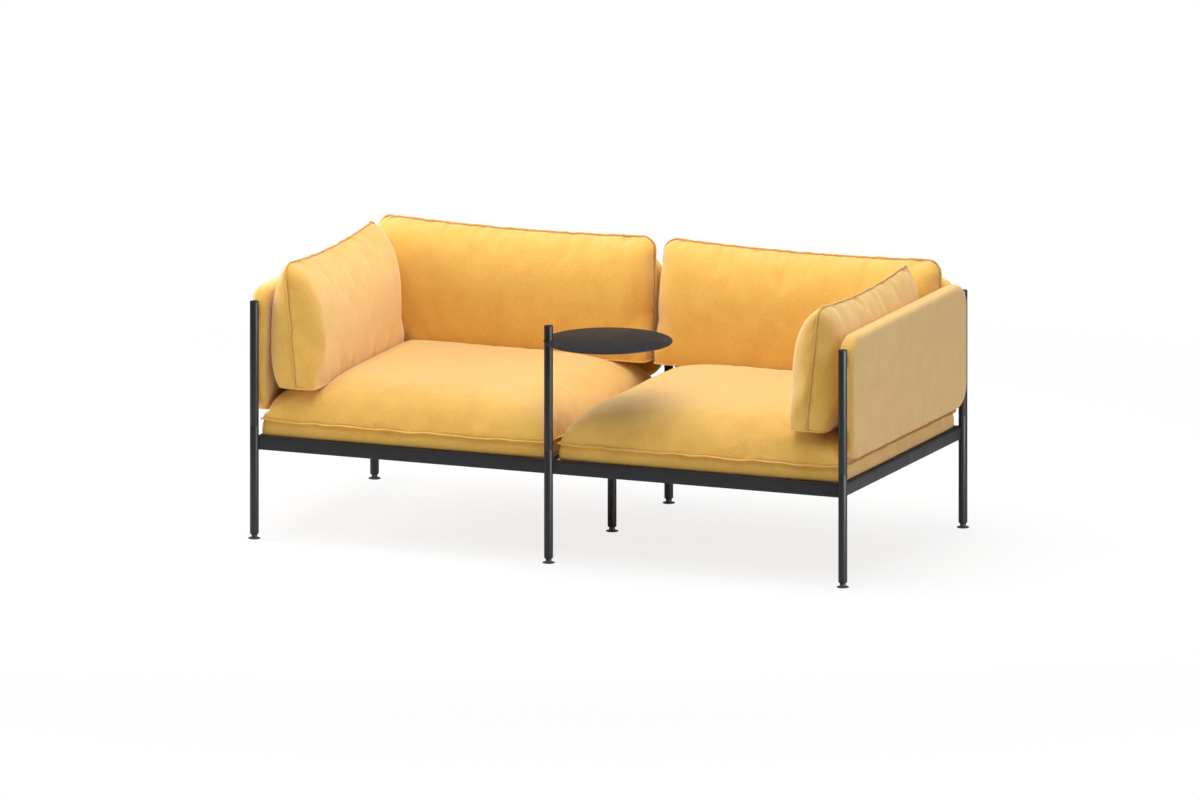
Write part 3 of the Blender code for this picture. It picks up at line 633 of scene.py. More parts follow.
@dataclass
class Filling:
    """What a cushion is stuffed with, and how its cover behaves while it is blown up."""

    pressure: float = 2.2
    fullness: float = 0.004
    frames: int = 20
    quality: int = 5
    mass: float = 0.3
    tension: float = 20.0
    compression: float = 12.0
    shear: float = 8.0
    bending: float = 4.0
    damping: float = 2.0

    def pin(self, piece: bpy.types.Object, held: np.ndarray) -> None:
        """Makes a cover cloth, with some of its points pinned.

        Args:
            piece: The cover.
            held: Numbers of the points that are sewn or pressed flat.
        """
        group = piece.vertex_groups.new(name="held")
        group.add([int(number) for number in held], 1.0, "REPLACE")
        cloth = piece.modifiers.new("cloth", "CLOTH")
        settings = cloth.settings
        settings.quality = self.quality
        settings.mass = self.mass
        settings.tension_stiffness = self.tension
        settings.compression_stiffness = self.compression
        settings.shear_stiffness = self.shear
        settings.bending_stiffness = self.bending
        settings.air_damping = self.damping
        settings.use_pressure = True
        settings.uniform_pressure_force = self.pressure
        settings.vertex_group_mass = group.name
        settings.shrink_min = -self.fullness
        settings.effector_weights.gravity = 0
        cloth.point_cache.frame_start = 1
        cloth.point_cache.frame_end = self.frames

    def blow_up(self, pieces: Sequence[tuple[bpy.types.Object, np.ndarray, float]]) -> None:
        """Blows sewn covers up by cloth simulation and keeps the result.

        Args:
            pieces: Each cover with the numbers of its points that stay put, and how far its
                cloth may move.
        """
        starts = [coordinates(piece.data) for piece, _, _ in pieces]
        for piece, held, _ in pieces:
            self.pin(piece, held)
        scene = bpy.context.scene
        for number in range(1, self.frames + 1):
            scene.frame_set(number)
        for (piece, _, reach), start in zip(pieces, starts):
            mesh = evaluated_mesh(piece)
            move = coordinates(mesh) - start
            size = np.linalg.norm(move, axis=1, keepdims=True)
            log.info("%s moved by up to %.1f mm", piece.name, 1000 * size.max())
            share_kept = reach * np.tanh(size / reach) / np.maximum(size, 1e-9)
            piece.modifiers.clear()
            piece.vertex_groups.clear()
            set_coordinates(piece.data, start + move * share_kept)
            bpy.data.meshes.remove(mesh)
        scene.frame_set(1)


def subdivide(piece: bpy.types.Object) -> None:
    """Works one level of subdivision into a piece.

    Args:
        piece: The piece, whose creases are marked.
    """
    finer = piece.modifiers.new("finer", "SUBSURF")
    finer.levels = finer.render_levels = 1
    work_in(piece)
    piece.data.shade_smooth()
    piece.data.attributes.remove(piece.data.attributes["crease_edge"])


def line_underside(piece: bpy.types.Object) -> None:
    """Sews the flat lining across the open underside of a cushion.

    Args:
        piece: The cushion's cover.
    """
    shape = bmesh.new()
    shape.from_mesh(piece.data)
    rim = [edge for edge in shape.edges if edge.is_boundary]
    made = bmesh.ops.holes_fill(shape, edges=rim, sides=0)["faces"]
    layer = shape.loops.layers.uv.verify()
    for face in made:
        face.smooth = True
        for corner in face.loops:
            corner[layer].uv = corner.vert.co.xy
    bmesh.ops.recalc_face_normals(shape, faces=shape.faces)
    shape.to_mesh(piece.data)
    shape.free()


def edge_marks(mesh: bpy.types.Mesh, lines: Sequence[tuple[np.ndarray, float]]) -> None:
    """Keeps lines of a mesh from being smoothed away.

    Args:
        mesh: The mesh.
        lines: Numbers of the points along each line, with its sharpness from 0 to 1.
    """
    marks = {}
    for numbers, sharpness in lines:
        for pair in zip(numbers[:-1], numbers[1:]):
            marks[tuple(sorted(map(int, pair)))] = sharpness
    crease = mesh.attributes.new("crease_edge", "FLOAT", "EDGE")
    values = [marks.get(tuple(sorted(edge.vertices)), 0.0) for edge in mesh.edges]
    crease.data.foreach_set("value", values)


@dataclass
class Gathers:
    """What a sewn seam does to the cloth beside it: a crease along it, soft dents and fine gathers."""

    crease: float
    crease_reach: float
    dent: float
    dent_reach: float
    dent_period: float
    gather: float
    gather_period: float
    crease_power: float = 1.6
    dent_start: float = 0.12
    dent_floor: float = 0.1
    gather_start: float = 0.1
    gather_end: float = 0.55
    side_shift: float = 0.3

    def press(
        self, mesh: bpy.types.Mesh, seam: np.ndarray, outward: np.ndarray, seed: int
    ) -> None:
        """Presses the crease, the dents and the gathers into a mesh along a seam.

        Args:
            mesh: The cushion's cover.
            seam: Points along the seam, close together.
            outward: Direction that the seam faces at each of them.
            seed: Picks the dents and the gathers.
        """
        tree = KDTree(len(seam))
        for number, point in enumerate(seam):
            tree.insert(point, number)
        tree.balance()
        points = coordinates(mesh)
        found = [tree.find(point)[1:] for point in points]
        nearest = np.array([number for number, _ in found])
        distance = np.array([away for _, away in found])
        chosen = np.flatnonzero(distance < self.dent_reach)
        nearest, distance = nearest[chosen], distance[chosen]
        across = np.cross(outward, np.gradient(seam, axis=0))[nearest]
        side = np.sign(np.einsum("ij,ij->i", across, points[chosen] - seam[nearest]))
        along = distances(seam)[nearest]
        left = ripple(along, self.dent_period, seed)
        right = ripple(along, self.dent_period, seed + 1)
        broad = np.maximum(np.where(side > 0, left, right) - self.dent_floor, 0.0)
        shifted = along + self.side_shift * side * self.gather_period
        fine = ripple(shifted, self.gather_period, seed + 2)
        away = distance / self.dent_reach
        dents = ease(away / self.dent_start) * (1 - ease(away)) * broad
        gathers = ease(away / self.gather_start) * (1 - ease(away / self.gather_end)) * fine
        drop = self.dent * dents + self.gather * gathers
        near = np.clip(1 - distance / self.crease_reach, 0.0, 1.0)
        deep = self.crease * near**self.crease_power
        points[chosen] -= normals(mesh)[chosen] * drop[:, None] + outward[nearest] * deep[:, None]
        set_coordinates(mesh, points)


RIDGE_GATHERS = Gathers(0.0038, 0.0095, 0.0040, 0.058, 0.085, 0.0004, 0.034)
FOOT_GATHERS = Gathers(0.0, 0.006, 0.0014, 0.034, 0.07, 0.0003, 0.034)
SEAT_GATHERS = Gathers(0.0030, 0.0080, 0.0026, 0.055, 0.14, 0.0004, 0.050)


class SewingTree:
    """A geometry tree with named inputs, which turns a path into a finished mesh."""

    def __init__(self, name: str, sizes: dict[str, float], finish: Finish) -> None:
        """Starts the tree with its inputs.

        Args:
            name: Name of the tree.
            sizes: Each size that the tree asks for, with its value.
            finish: Finish of what the tree makes.
        """
        self.tree = bpy.data.node_groups.new(name, "GeometryNodeTree")
        face = self.tree.interface
        face.new_socket("Path", in_out="INPUT", socket_type="NodeSocketGeometry")
        self.sizes = dict(sizes)
        self.identifiers: dict[str, str] = {}
        for label, value in sizes.items():
            kind = "NodeSocketInt" if isinstance(value, int) else "NodeSocketFloat"
            socket = face.new_socket(label, in_out="INPUT", socket_type=kind)
            socket.default_value = value
            self.identifiers[label] = socket.identifier
        face.new_socket("Made", in_out="OUTPUT", socket_type="NodeSocketGeometry")
        self.given = add_node(self.tree, "NodeGroupInput").outputs
        self.finish = finish

    def end(self, made: bpy.types.Node) -> None:
        """Closes the tree.

        Args:
            made: The node that gives what the tree made.
        """
        smooth = add_node(self.tree, "GeometryNodeSetShadeSmooth", {"Geometry": made})
        real = add_node(self.tree, "GeometryNodeRealizeInstances", {"Geometry": smooth})
        feeds = {"Geometry": real, "Material": self.finish.material()}
        dressed = add_node(self.tree, "GeometryNodeSetMaterial", feeds)
        add_node(self.tree, "NodeGroupOutput", {"Made": dressed})

    def make(
        self, name: str, path: bpy.types.Mesh, sizes: dict[str, float] | None = None
    ) -> bpy.types.Object:
        """Runs the tree on a path and keeps the result as a plain mesh.

        Args:
            name: Name of the new piece.
            path: Mesh of the path.
            sizes: Sizes that differ from the tree's own.

        Returns:
            The piece, at the origin.
        """
        holder = linked(name, path)
        modifier = holder.modifiers.new(self.tree.name, "NODES")
        modifier.node_group = self.tree
        for label, value in (self.sizes | (sizes or {})).items():
            modifier[self.identifiers[label]] = value
        work_in(holder)
        return holder


@dataclass
class Seam:
    """A sewn line: its points, the direction that it faces at each, and whether it closes."""

    line: np.ndarray
    facing: np.ndarray
    closed: bool

    def path(self, name: str) -> bpy.types.Mesh:
        """A chain of edges that keeps the direction that the seam faces.

        Args:
            name: Name of the mesh.

        Returns:
            The chain.
        """
        edges = [(i, i + 1) for i in range(len(self.line) - 1)]
        if self.closed:
            edges.append((len(self.line) - 1, 0))
        mesh = bpy.data.meshes.new(name)
        mesh.from_pydata(self.line.tolist(), edges, [])
        layer = mesh.attributes.new(SEAM_DIRECTION, "FLOAT_VECTOR", "POINT")
        layer.data.foreach_set("vector", self.facing.astype(np.float32).ravel())
        return mesh


class SewingKit:
    """The sewing trees, made once, and the things that they sew."""

    def __init__(self) -> None:
        """Makes the trees."""
        self.lip = self.lip_tree()
        self.stitches = self.stitch_tree()

    @staticmethod
    def facing(sewing: SewingTree) -> bpy.types.NodeSocket:
        """The direction that the seam faces, kept on the path's points.

        Args:
            sewing: The tree that asks for it.

        Returns:
            The socket that gives it.
        """
        kind = "GeometryNodeInputNamedAttribute"
        kept = add_node(sewing.tree, kind, {"Name": SEAM_DIRECTION}, data_type="FLOAT_VECTOR")
        return kept.outputs["Attribute"]

    def lip_tree(self) -> SewingTree:
        """A tree that sweeps the rounded section of a doubled edge of cloth along a path.

        Returns:
            The tree.
        """
        sewing = SewingTree("seam_lip", {"Width": 0.006, "Thickness": 0.003, "Sides": 12}, WOOL)
        tree, given = sewing.tree, sewing.given
        line = add_node(tree, "GeometryNodeMeshToCurve", {"Mesh": given["Path"]})
        feeds = {"Curve": line, "Normal": self.facing(sewing)}
        turned = add_node(tree, "GeometryNodeSetCurveNormal", feeds, mode="FREE")
        feeds = {"Resolution": given["Sides"], "Radius": 0.5}
        ring = add_node(tree, "GeometryNodeCurvePrimitiveCircle", feeds)
        feeds = {"X": given["Width"], "Y": given["Thickness"], "Z": 1.0}
        size = add_node(tree, "ShaderNodeCombineXYZ", feeds)
        section = add_node(tree, "GeometryNodeTransform", {"Geometry": ring, "Scale": size})
        feeds = {"Curve": turned, "Profile Curve": section, "Fill Caps": True}
        sewing.end(add_node(tree, "GeometryNodeCurveToMesh", feeds))
        return sewing

    def stitch_tree(self) -> SewingTree:
        """A tree that lays a row of lock stitches along a path, each a short bowed thread.

        Returns:
            The tree.
        """
        sizes = {"Pitch": 0.0052, "Length": 0.0036, "Thickness": 0.0007}
        sewing = SewingTree("stitches", sizes, WOOL_THREAD)
        tree, given = sewing.tree, sewing.given
        line = add_node(tree, "GeometryNodeMeshToCurve", {"Mesh": given["Path"]})
        feeds = {"Curve": line, "Length": given["Pitch"]}
        spaced = add_node(tree, "GeometryNodeResampleCurve", feeds, mode="LENGTH")
        back, ahead, bow, radius = (
            add_node(tree, "ShaderNodeMath", {0: given[size], 1: share}, operation="MULTIPLY")
            for size, share in (
                ("Length", -0.5), ("Length", 0.5), ("Thickness", 1.1), ("Thickness", 0.5)
            )
        )
        start, middle, end = (
            add_node(tree, "ShaderNodeCombineXYZ", {axis: reach})
            for axis, reach in (("X", back), ("Z", bow), ("X", ahead))
        )
        feeds = {"Resolution": 4, "Start": start, "Middle": middle, "End": end}
        thread = add_node(tree, "GeometryNodeCurveQuadraticBezier", feeds)
        feeds = {"Resolution": 5, "Radius": radius}
        ring = add_node(tree, "GeometryNodeCurvePrimitiveCircle", feeds)
        feeds = {"Curve": thread, "Profile Curve": ring, "Fill Caps": True}
        stitch = add_node(tree, "GeometryNodeCurveToMesh", feeds)
        tangent = add_node(tree, "GeometryNodeInputTangent")
        feeds = {"Primary Axis": tangent, "Secondary Axis": self.facing(sewing)}
        axes = {"primary_axis": "X", "secondary_axis": "Z"}
        turned = add_node(tree, "FunctionNodeAxesToRotation", feeds, **axes)
        feeds = {"Points": spaced, "Instance": stitch, "Rotation": turned}
        sewing.end(add_node(tree, "GeometryNodeInstanceOnPoints", feeds))
        return sewing

    def sew_lip(self, name: str, seam: Seam, width: float, thickness: float, body: str) -> None:
        """Sews a lip along a seam.

        Args:
            name: Name of the lip.
            seam: The line along its middle.
            width: How far across it is.
            thickness: Its thickness.
            body: The body that the lip rides on.
        """
        sizes = {"Width": width, "Thickness": thickness}
        dress(self.lip.make(name, seam.path(name), sizes), None, Slot.WOOL, body)

    def sew_stitches(self, name: str, seam: Seam, body: str) -> None:
        """Sews a row of stitches along a seam."""
        dress(self.stitches.make(name, seam.path(name)), None, Slot.WOOL, body)


def dress(
    piece: bpy.types.Object, finish: Finish | None, slot: Slot, body: str, *nodes: str
) -> None:
    """Gives a finished piece its material and the body that it rides on.

    Args:
        piece: The piece, at the origin.
        finish: Its finish, or None where it has one already.
        slot: The record's slot for it; not used.
        body: Name of the body that it rides on.
        nodes: The frame's nodes that it stands for.
    """
    if finish is not None:
        piece.data.materials.clear()
        piece.data.materials.append(finish.material())
    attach(piece, body)
    if nodes:
        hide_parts(*nodes)
    log.info("%s: %d faces on %s", piece.name, len(piece.data.polygons), body)


@dataclass
class LooseCushion:
    """A loose cushion that leans on a panel, sewn up both ends and along its ridge.

    Its own X runs along the panel, depth is measured from the panel's face towards the seat and
    height from the seat that it rests on.
    """

    name: str
    origin: Vector
    turn: float
    length: float
    height: float
    sag: float
    seed: int
    base_standoff: float = 0.036
    base_thickness: float = 0.108
    ridge_standoff: float = 0.058
    thickness: float = 0.150
    belly: float = 0.125
    end_depth: float = 0.050
    foot_depth: float = 0.026
    end_lean: float = 0.005
    corner: float = 0.035
    end_gap: float = 0.001
    ridge_sharpness: float = 2.4
    ridge_fullness: float = 0.6
    ridge_wave: Wave = Wave(0.0011, 0.052)
    ridge_sway: Wave = Wave(0.0013, 0.075, 5)
    end_sway: Wave = Wave(0.0014, 0.11, 9)
    lip: float = 0.0062
    lip_thickness: float = 0.0030
    lip_tuck: float = 0.0026
    lip_lean: float = 0.22
    lip_wave: Wave = Wave(0.16, 0.09, 60)
    stitch_rise: float = 0.0010
    foot_lip: float = 0.0044
    foot_lip_thickness: float = 0.0034
    foot_lip_out: float = 0.0004
    foot_lip_rise: float = 0.0020
    slack: float = 0.985
    reach: float = 0.010
    levels: int = 30
    middle_steps: int = 72

    def seam_depth(self, share: float) -> float:
        """Depth of the seam at a share of the height."""
        foot = self.base_standoff + self.base_thickness / 2
        return foot + (self.ridge_standoff - foot) * share

    def face_depths(self, share: float) -> tuple[float, float]:
        """Depths of the two faces before filling.

        Args:
            share: Share of the height.

        Returns:
            Depth of the rear face and of the front face.
        """
        near, far = GAP, GAP + self.thickness
        belly = self.belly / self.height
        if share < belly:
            draw = (1 - share / belly) ** 2
            base_far = self.base_standoff + self.base_thickness
            return near + (self.base_standoff - near) * draw, far + (base_far - far) * draw
        seam = self.seam_depth(share)
        rise = (share - belly) / (1 - belly)
        full = max(1 - rise**self.ridge_sharpness, 0.0) ** self.ridge_fullness
        return seam + (near - seam) * full, seam + (far - seam) * full

    def half_length(self, share: float) -> float:
        """Half the seam's length, round the top corners too.

        Args:
            share: Share of the height.

        Returns:
            The distance from the middle to the end seam.
        """
        below = self.height * (1 - share)
        inset = 0.0
        if below < self.corner:
            inset = self.corner - math.sqrt(self.corner**2 - (self.corner - below) ** 2)
        return self.length / 2 - self.end_lean * share - inset - self.lip * 0.5

    def shares(self) -> np.ndarray:
        """Levels of the rows of points, close together at the foot and at the ridge.

        Returns:
            The levels, as shares of the height.
        """
        belly = self.belly / self.height
        low = belly * np.array([0.0, 0.012, 0.035, 0.075, 0.13, 0.2, 0.29, 0.41, 0.55, 0.7, 0.85])
        turn = np.pi / 2 * (1 - np.linspace(1.0, 0.0, self.levels + 1) ** 1.15)
        high = belly + (1 - belly) * np.sin(turn) ** (2 / self.ridge_sharpness)
        return np.concatenate([low, high])

    def stations(self, share: float) -> tuple[np.ndarray, np.ndarray]:
        """Places of the points along the cushion.

        The ends are square at the foot and round from the belly up.

        Args:
            share: Share of the height.

        Returns:
            The places, and the share of the full thickness at each.
        """
        low = 1 - float(ease(share * self.height / self.belly))
        depth = self.end_depth + (self.foot_depth - self.end_depth) * low
        power = 2 + 2 * low
        reach = self.half_length(share)
        turn = np.radians([0.0, 1.2, 2.8, 5.0, 8.0, 12.0, 17.0, 24.0, 33.0, 44.0, 57.0, 73.0, 90.0])
        bow = np.sin(turn)
        ends = reach - depth * (1 - (1 - bow**power) ** (1 / power))
        middle = (reach - depth) * np.linspace(-1, 1, self.middle_steps + 1)[1:-1]
        places = np.concatenate([-ends, middle, ends[::-1]])
        return places, np.concatenate([bow, np.ones(len(middle)), bow[::-1]])

    def rows(self) -> tuple[np.ndarray, np.ndarray]:
        """Rows of points from the foot to the ridge, in the cushion's own space.

        Returns:
            The rows of the front face and of the rear face.
        """
        front, rear = [], []
        for share in self.shares():
            seam = self.seam_depth(share)
            near, far = self.face_depths(share)
            hold = 1 - (1 - self.slack) * float(ease(share * 5))
            x, bow = self.stations(share)
            side = x[-1]
            ridge = share**6
            height = self.height * share - self.sag * share**2 * (1 - (x / side) ** 2)
            height = height + self.ridge_wave.along(x, self.seed) * ridge
            level = np.full_like(x, self.height * share) + 3 * np.sign(x)
            near_end = (np.abs(x) / side) ** 8
            sway = self.ridge_sway.along(x, self.seed) * ridge
            sway += self.end_sway.along(level, self.seed) * near_end * (1 - ridge)
            front.append(np.stack([x, seam + sway + (far - seam) * bow * hold, height], axis=-1))
            rear.append(np.stack([x, seam + sway - (seam - near) * bow * hold, height], axis=-1))
        return np.array(front), np.array(rear)

    def placed(self, points: np.ndarray) -> np.ndarray:
        """Points of the cushion's own space, set in the sofa."""
        return self.faced(points) + np.array(self.origin)

    def faced(self, points: np.ndarray) -> np.ndarray:
        """Turns directions as the cushion stands in the sofa.

        Args:
            points: Directions in the cushion's own space.

        Returns:
            The directions in the sofa.
        """
        cos, sin = math.cos(self.turn), math.sin(self.turn)
        x, y, z = points[..., 0], -points[..., 1], points[..., 2]
        return np.stack([x * cos - y * sin, x * sin + y * cos, z], axis=-1)

    def own(self, points: np.ndarray) -> np.ndarray:
        """Takes points of the sofa into the cushion's own space.

        Args:
            points: The points in the sofa.

        Returns:
            The points in the cushion's own space.
        """
        moved = points - np.array(self.origin)
        cos, sin = math.cos(self.turn), math.sin(self.turn)
        x = moved[..., 0] * cos + moved[..., 1] * sin
        y = -moved[..., 0] * sin + moved[..., 1] * cos
        return np.stack([x, -y, moved[..., 2]], axis=-1)

    def cover(self) -> tuple[bpy.types.Object, np.ndarray]:
        """Cuts the cover, open underneath and not yet filled.

        Returns:
            The cover, and the numbers of its points that stay put.
        """
        front, rear = self.rows()
        skin = ClothSkin(f"{self.name}_cover")
        front_numbers = skin.add_points(self.placed(front))
        rear_numbers = front_numbers.copy()
        rear_numbers[:-1, 1:-1] = skin.add_points(self.placed(rear[:-1, 1:-1]))
        skin.add_grid(front_numbers, front[..., (0, 2)])
        skin.add_grid(rear_numbers, rear[..., (0, 2)] + np.array([0.0, 1.0]))
        self.seam_numbers = np.concatenate(
            [front_numbers[:, 0], front_numbers[-1, 1:-1], front_numbers[::-1, -1]]
        )
        around = np.concatenate([front_numbers[0], rear_numbers[0][::-1][1:-1]])
        self.foot_numbers = np.append(around, around[0])
        piece = skin.build()
        edge_marks(piece.data, [(self.seam_numbers, 1.0), (self.foot_numbers, 0.8)])
        return piece, np.unique(np.concatenate([self.seam_numbers, self.foot_numbers]))

    def settle(self, piece: bpy.types.Object) -> None:
        """Lets the filled cover lie against the panel and the seat without entering them.

        Args:
            piece: The cover.
        """
        spots = self.own(coordinates(piece.data))
        spots[:, 1] = np.maximum(spots[:, 1], GAP)
        spots[:, 2] = np.maximum(spots[:, 2], 0.0)
        limit = self.length / 2 - self.end_gap
        spots[:, 0] = np.clip(spots[:, 0], -limit, limit)
        set_coordinates(piece.data, self.placed(spots))

    def outward(self, line: np.ndarray, normal: np.ndarray, closed: bool) -> np.ndarray:
        """Directions away from the cushion along one of its seams.

        Args:
            line: Points of the seam.
            normal: What the directions are square to, in the cushion's own space.
            closed: Whether the seam closes on itself.

        Returns:
            A direction of length 1 at each point.
        """
        spots = self.own(line)
        out = away_from_middle(spots, np.cross(np.gradient(spots, axis=0), normal))
        if closed:
            out[0] = out[-1] = (out[1] + out[-2]) / 2
        return self.faced(smoothed(out, closed))

    def finish(self, piece: bpy.types.Object, kit: SewingKit) -> None:
        """Gathers the cloth along the seams, then sews on the lips and the stitches.

        Args:
            piece: The filled cover.
            kit: What sews.
        """
        subdivide(piece)
        line_underside(piece)
        seam = coordinates(piece.data)[self.seam_numbers]
        foot = coordinates(piece.data)[self.foot_numbers]
        seam_out = self.outward(seam, np.array([0.0, 1.0, 0.0]), False)
        foot_out = self.outward(foot, UP, True)
        RIDGE_GATHERS.press(piece.data, seam, seam_out, self.seed + 20)
        FOOT_GATHERS.press(piece.data, foot, foot_out, self.seed + 40)
        self.settle(piece)
        dress(piece, WOOL, Slot.WOOL, self.name, self.name)
        across = self.faced(np.array([0.0, 1.0, 0.0]))
        lean = self.lip_lean + self.lip_wave.along(distances(seam), self.seed)
        leaning = unit(seam_out + across * lean[:, None])
        edge = seam + leaning * (self.lip * 0.5 - self.lip_tuck)
        lip = Seam(edge, leaning, False)
        kit.sew_lip(f"{self.name}_seam", lip, self.lip, self.lip_thickness, self.name)
        bottom = foot + foot_out * self.foot_lip_out + UP * self.foot_lip_rise
        hem = Seam(bottom[:-1], foot_out[:-1], True)
        sizes = (self.foot_lip, self.foot_lip_thickness)
        kit.sew_lip(f"{self.name}_foot_seam", hem, *sizes, self.name)
        for side, sign in (("front", 1), ("rear", -1)):
            beside = across * sign * self.lip_thickness * STITCH_LEVEL
            line = edge + leaning * self.stitch_rise + beside
            row = Seam(line, np.repeat(across[None] * sign, len(line), axis=0), False)
            kit.sew_stitches(f"{self.name}_stitches_{side}", row, self.name)


@dataclass
class SeatCushion:
    """A seat cushion: boxed border, a sewn lip all round it and a crowned top.

    Its own X points to the sofa's outer side and Y to the back, from the middle of the seat.
    """

    name: str
    side: int
    middle: Vector
    half_x: float
    half_y: float
    bottom: float
    rest: float
    panel_bottom: float
    tuck: float
    face_x: float
    face_y: float
    seed: int
    border: float = 0.043
    flare: float = 0.001
    seam_wave: Wave = Wave(0.0021, 0.125)
    corner_lift: float = 0.0030
    corner_pull: float = 0.0035
    press_run: float = 0.004
    tuck_run: float = 0.006
    lip: float = 0.0100
    lip_thickness: float = 0.0042
    lip_tuck: float = 0.0030
    lip_wave: Wave = Wave(0.12, 0.11, 60)
    stitch_rise: float = 0.0012
    crown: float = 0.116
    nose: float = 0.016
    nose_share: float = 0.30
    fall: float = 4.0
    corner_blend: float = 2.0
    reach: float = 0.005
    lines: int = 56

    def seam_height(self) -> float:
        """Mean height of the seam between the border and the top."""
        return self.bottom + self.border

    def grid(self, half: float, face: float) -> np.ndarray:
        """Places of the grid lines on one axis, closer at the edges and beside the pressed part.

        Args:
            half: Half the seat's size on this axis.
            face: Where the face of the loose cushion stands on this axis, from the middle.

        Returns:
            The places, in order.
        """
        edge = np.array([0.0, 0.0010, 0.0024, 0.0042, 0.0066, 0.0098, 0.014, 0.020, 0.028, 0.038])
        inner = half - 0.048
        middle = inner * np.linspace(-1.0, 1.0, self.lines + 1)
        near = face + np.array([-0.030, -0.022, -0.015, -0.010, -0.006, -0.003, 0.0, 0.004, 0.010])
        middle = middle[(middle < near[0] - 0.006) | (middle > near[-1] + 0.006)]
        return np.sort(np.concatenate([edge - half, middle, near, half - edge]))

    def rise(self, away: np.ndarray, half: float) -> np.ndarray:
        """Share of the crown's height at a distance from one edge.

        A rounded nose stands up from the seam, and a slow dome runs on to the middle.

        Args:
            away: Distances from the edge.
            half: Distance from the edge to the middle.

        Returns:
            The share at each distance.
        """
        dome = (1 - self.nose_share) * np.clip(1 - away / half, 0.0, 1.0) ** self.fall
        return 1 - dome - self.nose_share * np.exp(-np.maximum(away, 0.0) / self.nose)

    def crown_height(self, x: np.ndarray, y: np.ndarray) -> np.ndarray:
        """Height of the free crown over the seam.

        Args:
            x: Places across the seat.
            y: Places from front to back.

        Returns:
            The height at each place.
        """
        rise_x = self.rise(self.half_x - abs(x), self.half_x)
        rise_y = self.rise(self.half_y - abs(y), self.half_y)
        power = self.corner_blend
        spread = ((rise_x**power + rise_y**power) / 2) ** (1 / power)
        return self.crown * rise_x * rise_y / np.maximum(spread, 1e-6)

    def top(self) -> tuple[np.ndarray, np.ndarray]:
        """Lays out the top.

        Returns:
            Its rows of points, and which of them lie under something.
        """
        line_x = self.grid(self.half_x, self.face_x)
        line_y = self.grid(self.half_y, self.face_y)
        x, y = np.meshgrid(line_x, line_y)
        edge_x, edge_y = np.abs(x) / self.half_x, np.abs(y) / self.half_y
        run = np.where(edge_x > edge_y, y + 3 * np.sign(x), x + 5 * np.sign(y))
        near_edge = np.maximum(edge_x, edge_y) ** 30
        calm = 1 - (edge_x * edge_y) ** 16
        wave = self.seam_wave.along(run, self.seed) * calm + self.corner_lift * (1 - calm)
        height = self.seam_height() + wave * near_edge + self.crown_height(x, y)
        under = np.maximum(x - self.face_x, y - self.face_y)
        pressed = np.minimum(height, self.rest - GAP)
        height = height + (pressed - height) * ease(under / self.press_run + 1.0)
        tucked = ease((x - self.tuck) / self.tuck_run + 1.0)
        height = height + (np.minimum(height, self.panel_bottom - GAP) - height) * tucked
        pull = self.corner_pull * (edge_x * edge_y) ** 10
        points = np.stack([x - np.sign(x) * pull, y - np.sign(y) * pull, height], axis=-1)
        return points, (under > -0.0035) | (x > self.tuck - self.tuck_run)

    def placed(self, points: np.ndarray) -> np.ndarray:
        """Points of the cushion's own space, set in the sofa."""
        spots = points * np.array([self.side, 1.0, 1.0])
        return spots + np.array([self.middle.x, self.middle.y, 0.0])

    def ring(self, top: np.ndarray, grow: float, height: float, follow: float) -> np.ndarray:
        """The outline of the top, moved outwards and set at a height.

        Args:
            top: Points round the edge of the top.
            grow: Distance outwards.
            height: Mean height.
            follow: Share of the seam's waves that the ring keeps.

        Returns:
            The points of the ring.
        """
        points = top.copy()
        points[:, 0] *= 1 + grow / self.half_x
        points[:, 1] *= 1 + grow / self.half_y
        points[:, 2] = height + (top[:, 2] - self.seam_height()) * follow
        return points

    @staticmethod
    def around(grid: np.ndarray) -> np.ndarray:
        """The values round the edge of a grid, once round."""
        return np.concatenate([grid[0, :-1], grid[:-1, -1], grid[-1, :0:-1], grid[:0:-1, 0]])

    def cover(self) -> tuple[bpy.types.Object, np.ndarray]:
        """Cuts the cover, open underneath and not yet filled.

        Returns:
            The cover, and the numbers of its points that stay put.
        """
        top, pressed = self.top()
        skin = ClothSkin(f"{self.name}_cover")
        numbers = skin.add_points(self.placed(top))
        skin.add_grid(numbers, top[..., :2])
        edge = self.around(top)
        seam_numbers = self.around(numbers)
        # Each level of the border: how far it stands out, its share of the height, and its share
        # of the seam's waves. The last two turn in under the cushion.
        levels = (
            (-0.0018, 0.975, 0.95),
            (-0.0030, 0.93, 0.85),
            (-0.0024, 0.84, 0.6),
            (-0.0006, 0.68, 0.3),
            (0.0008, 0.48, 0.1),
            (0.0010, 0.28, 0.0),
            (0.0006, 0.13, 0.0),
            (-0.0004, 0.035, 0.0),
            (-0.0030, 0.0, 0.0),
            (-0.0300, 0.0, 0.0),
        )
        rings, heights = [seam_numbers], [0.0]
        for inset, share, follow in levels:
            bulge = inset - self.flare * (1 - share)
            points = self.ring(edge, bulge, self.bottom + self.border * share, follow)
            rings.append(skin.add_points(self.placed(points)))
            heights.append(-self.border * (1 - share) + min(bulge, 0.0))
        skin.add_rings(rings, edge[:, :2], heights)
        self.seam_numbers = np.append(seam_numbers, seam_numbers[0])
        piece = skin.build()
        edge_marks(piece.data, [(self.seam_numbers, 1.0)])
        return piece, np.unique(np.concatenate([numbers[pressed], *rings]))

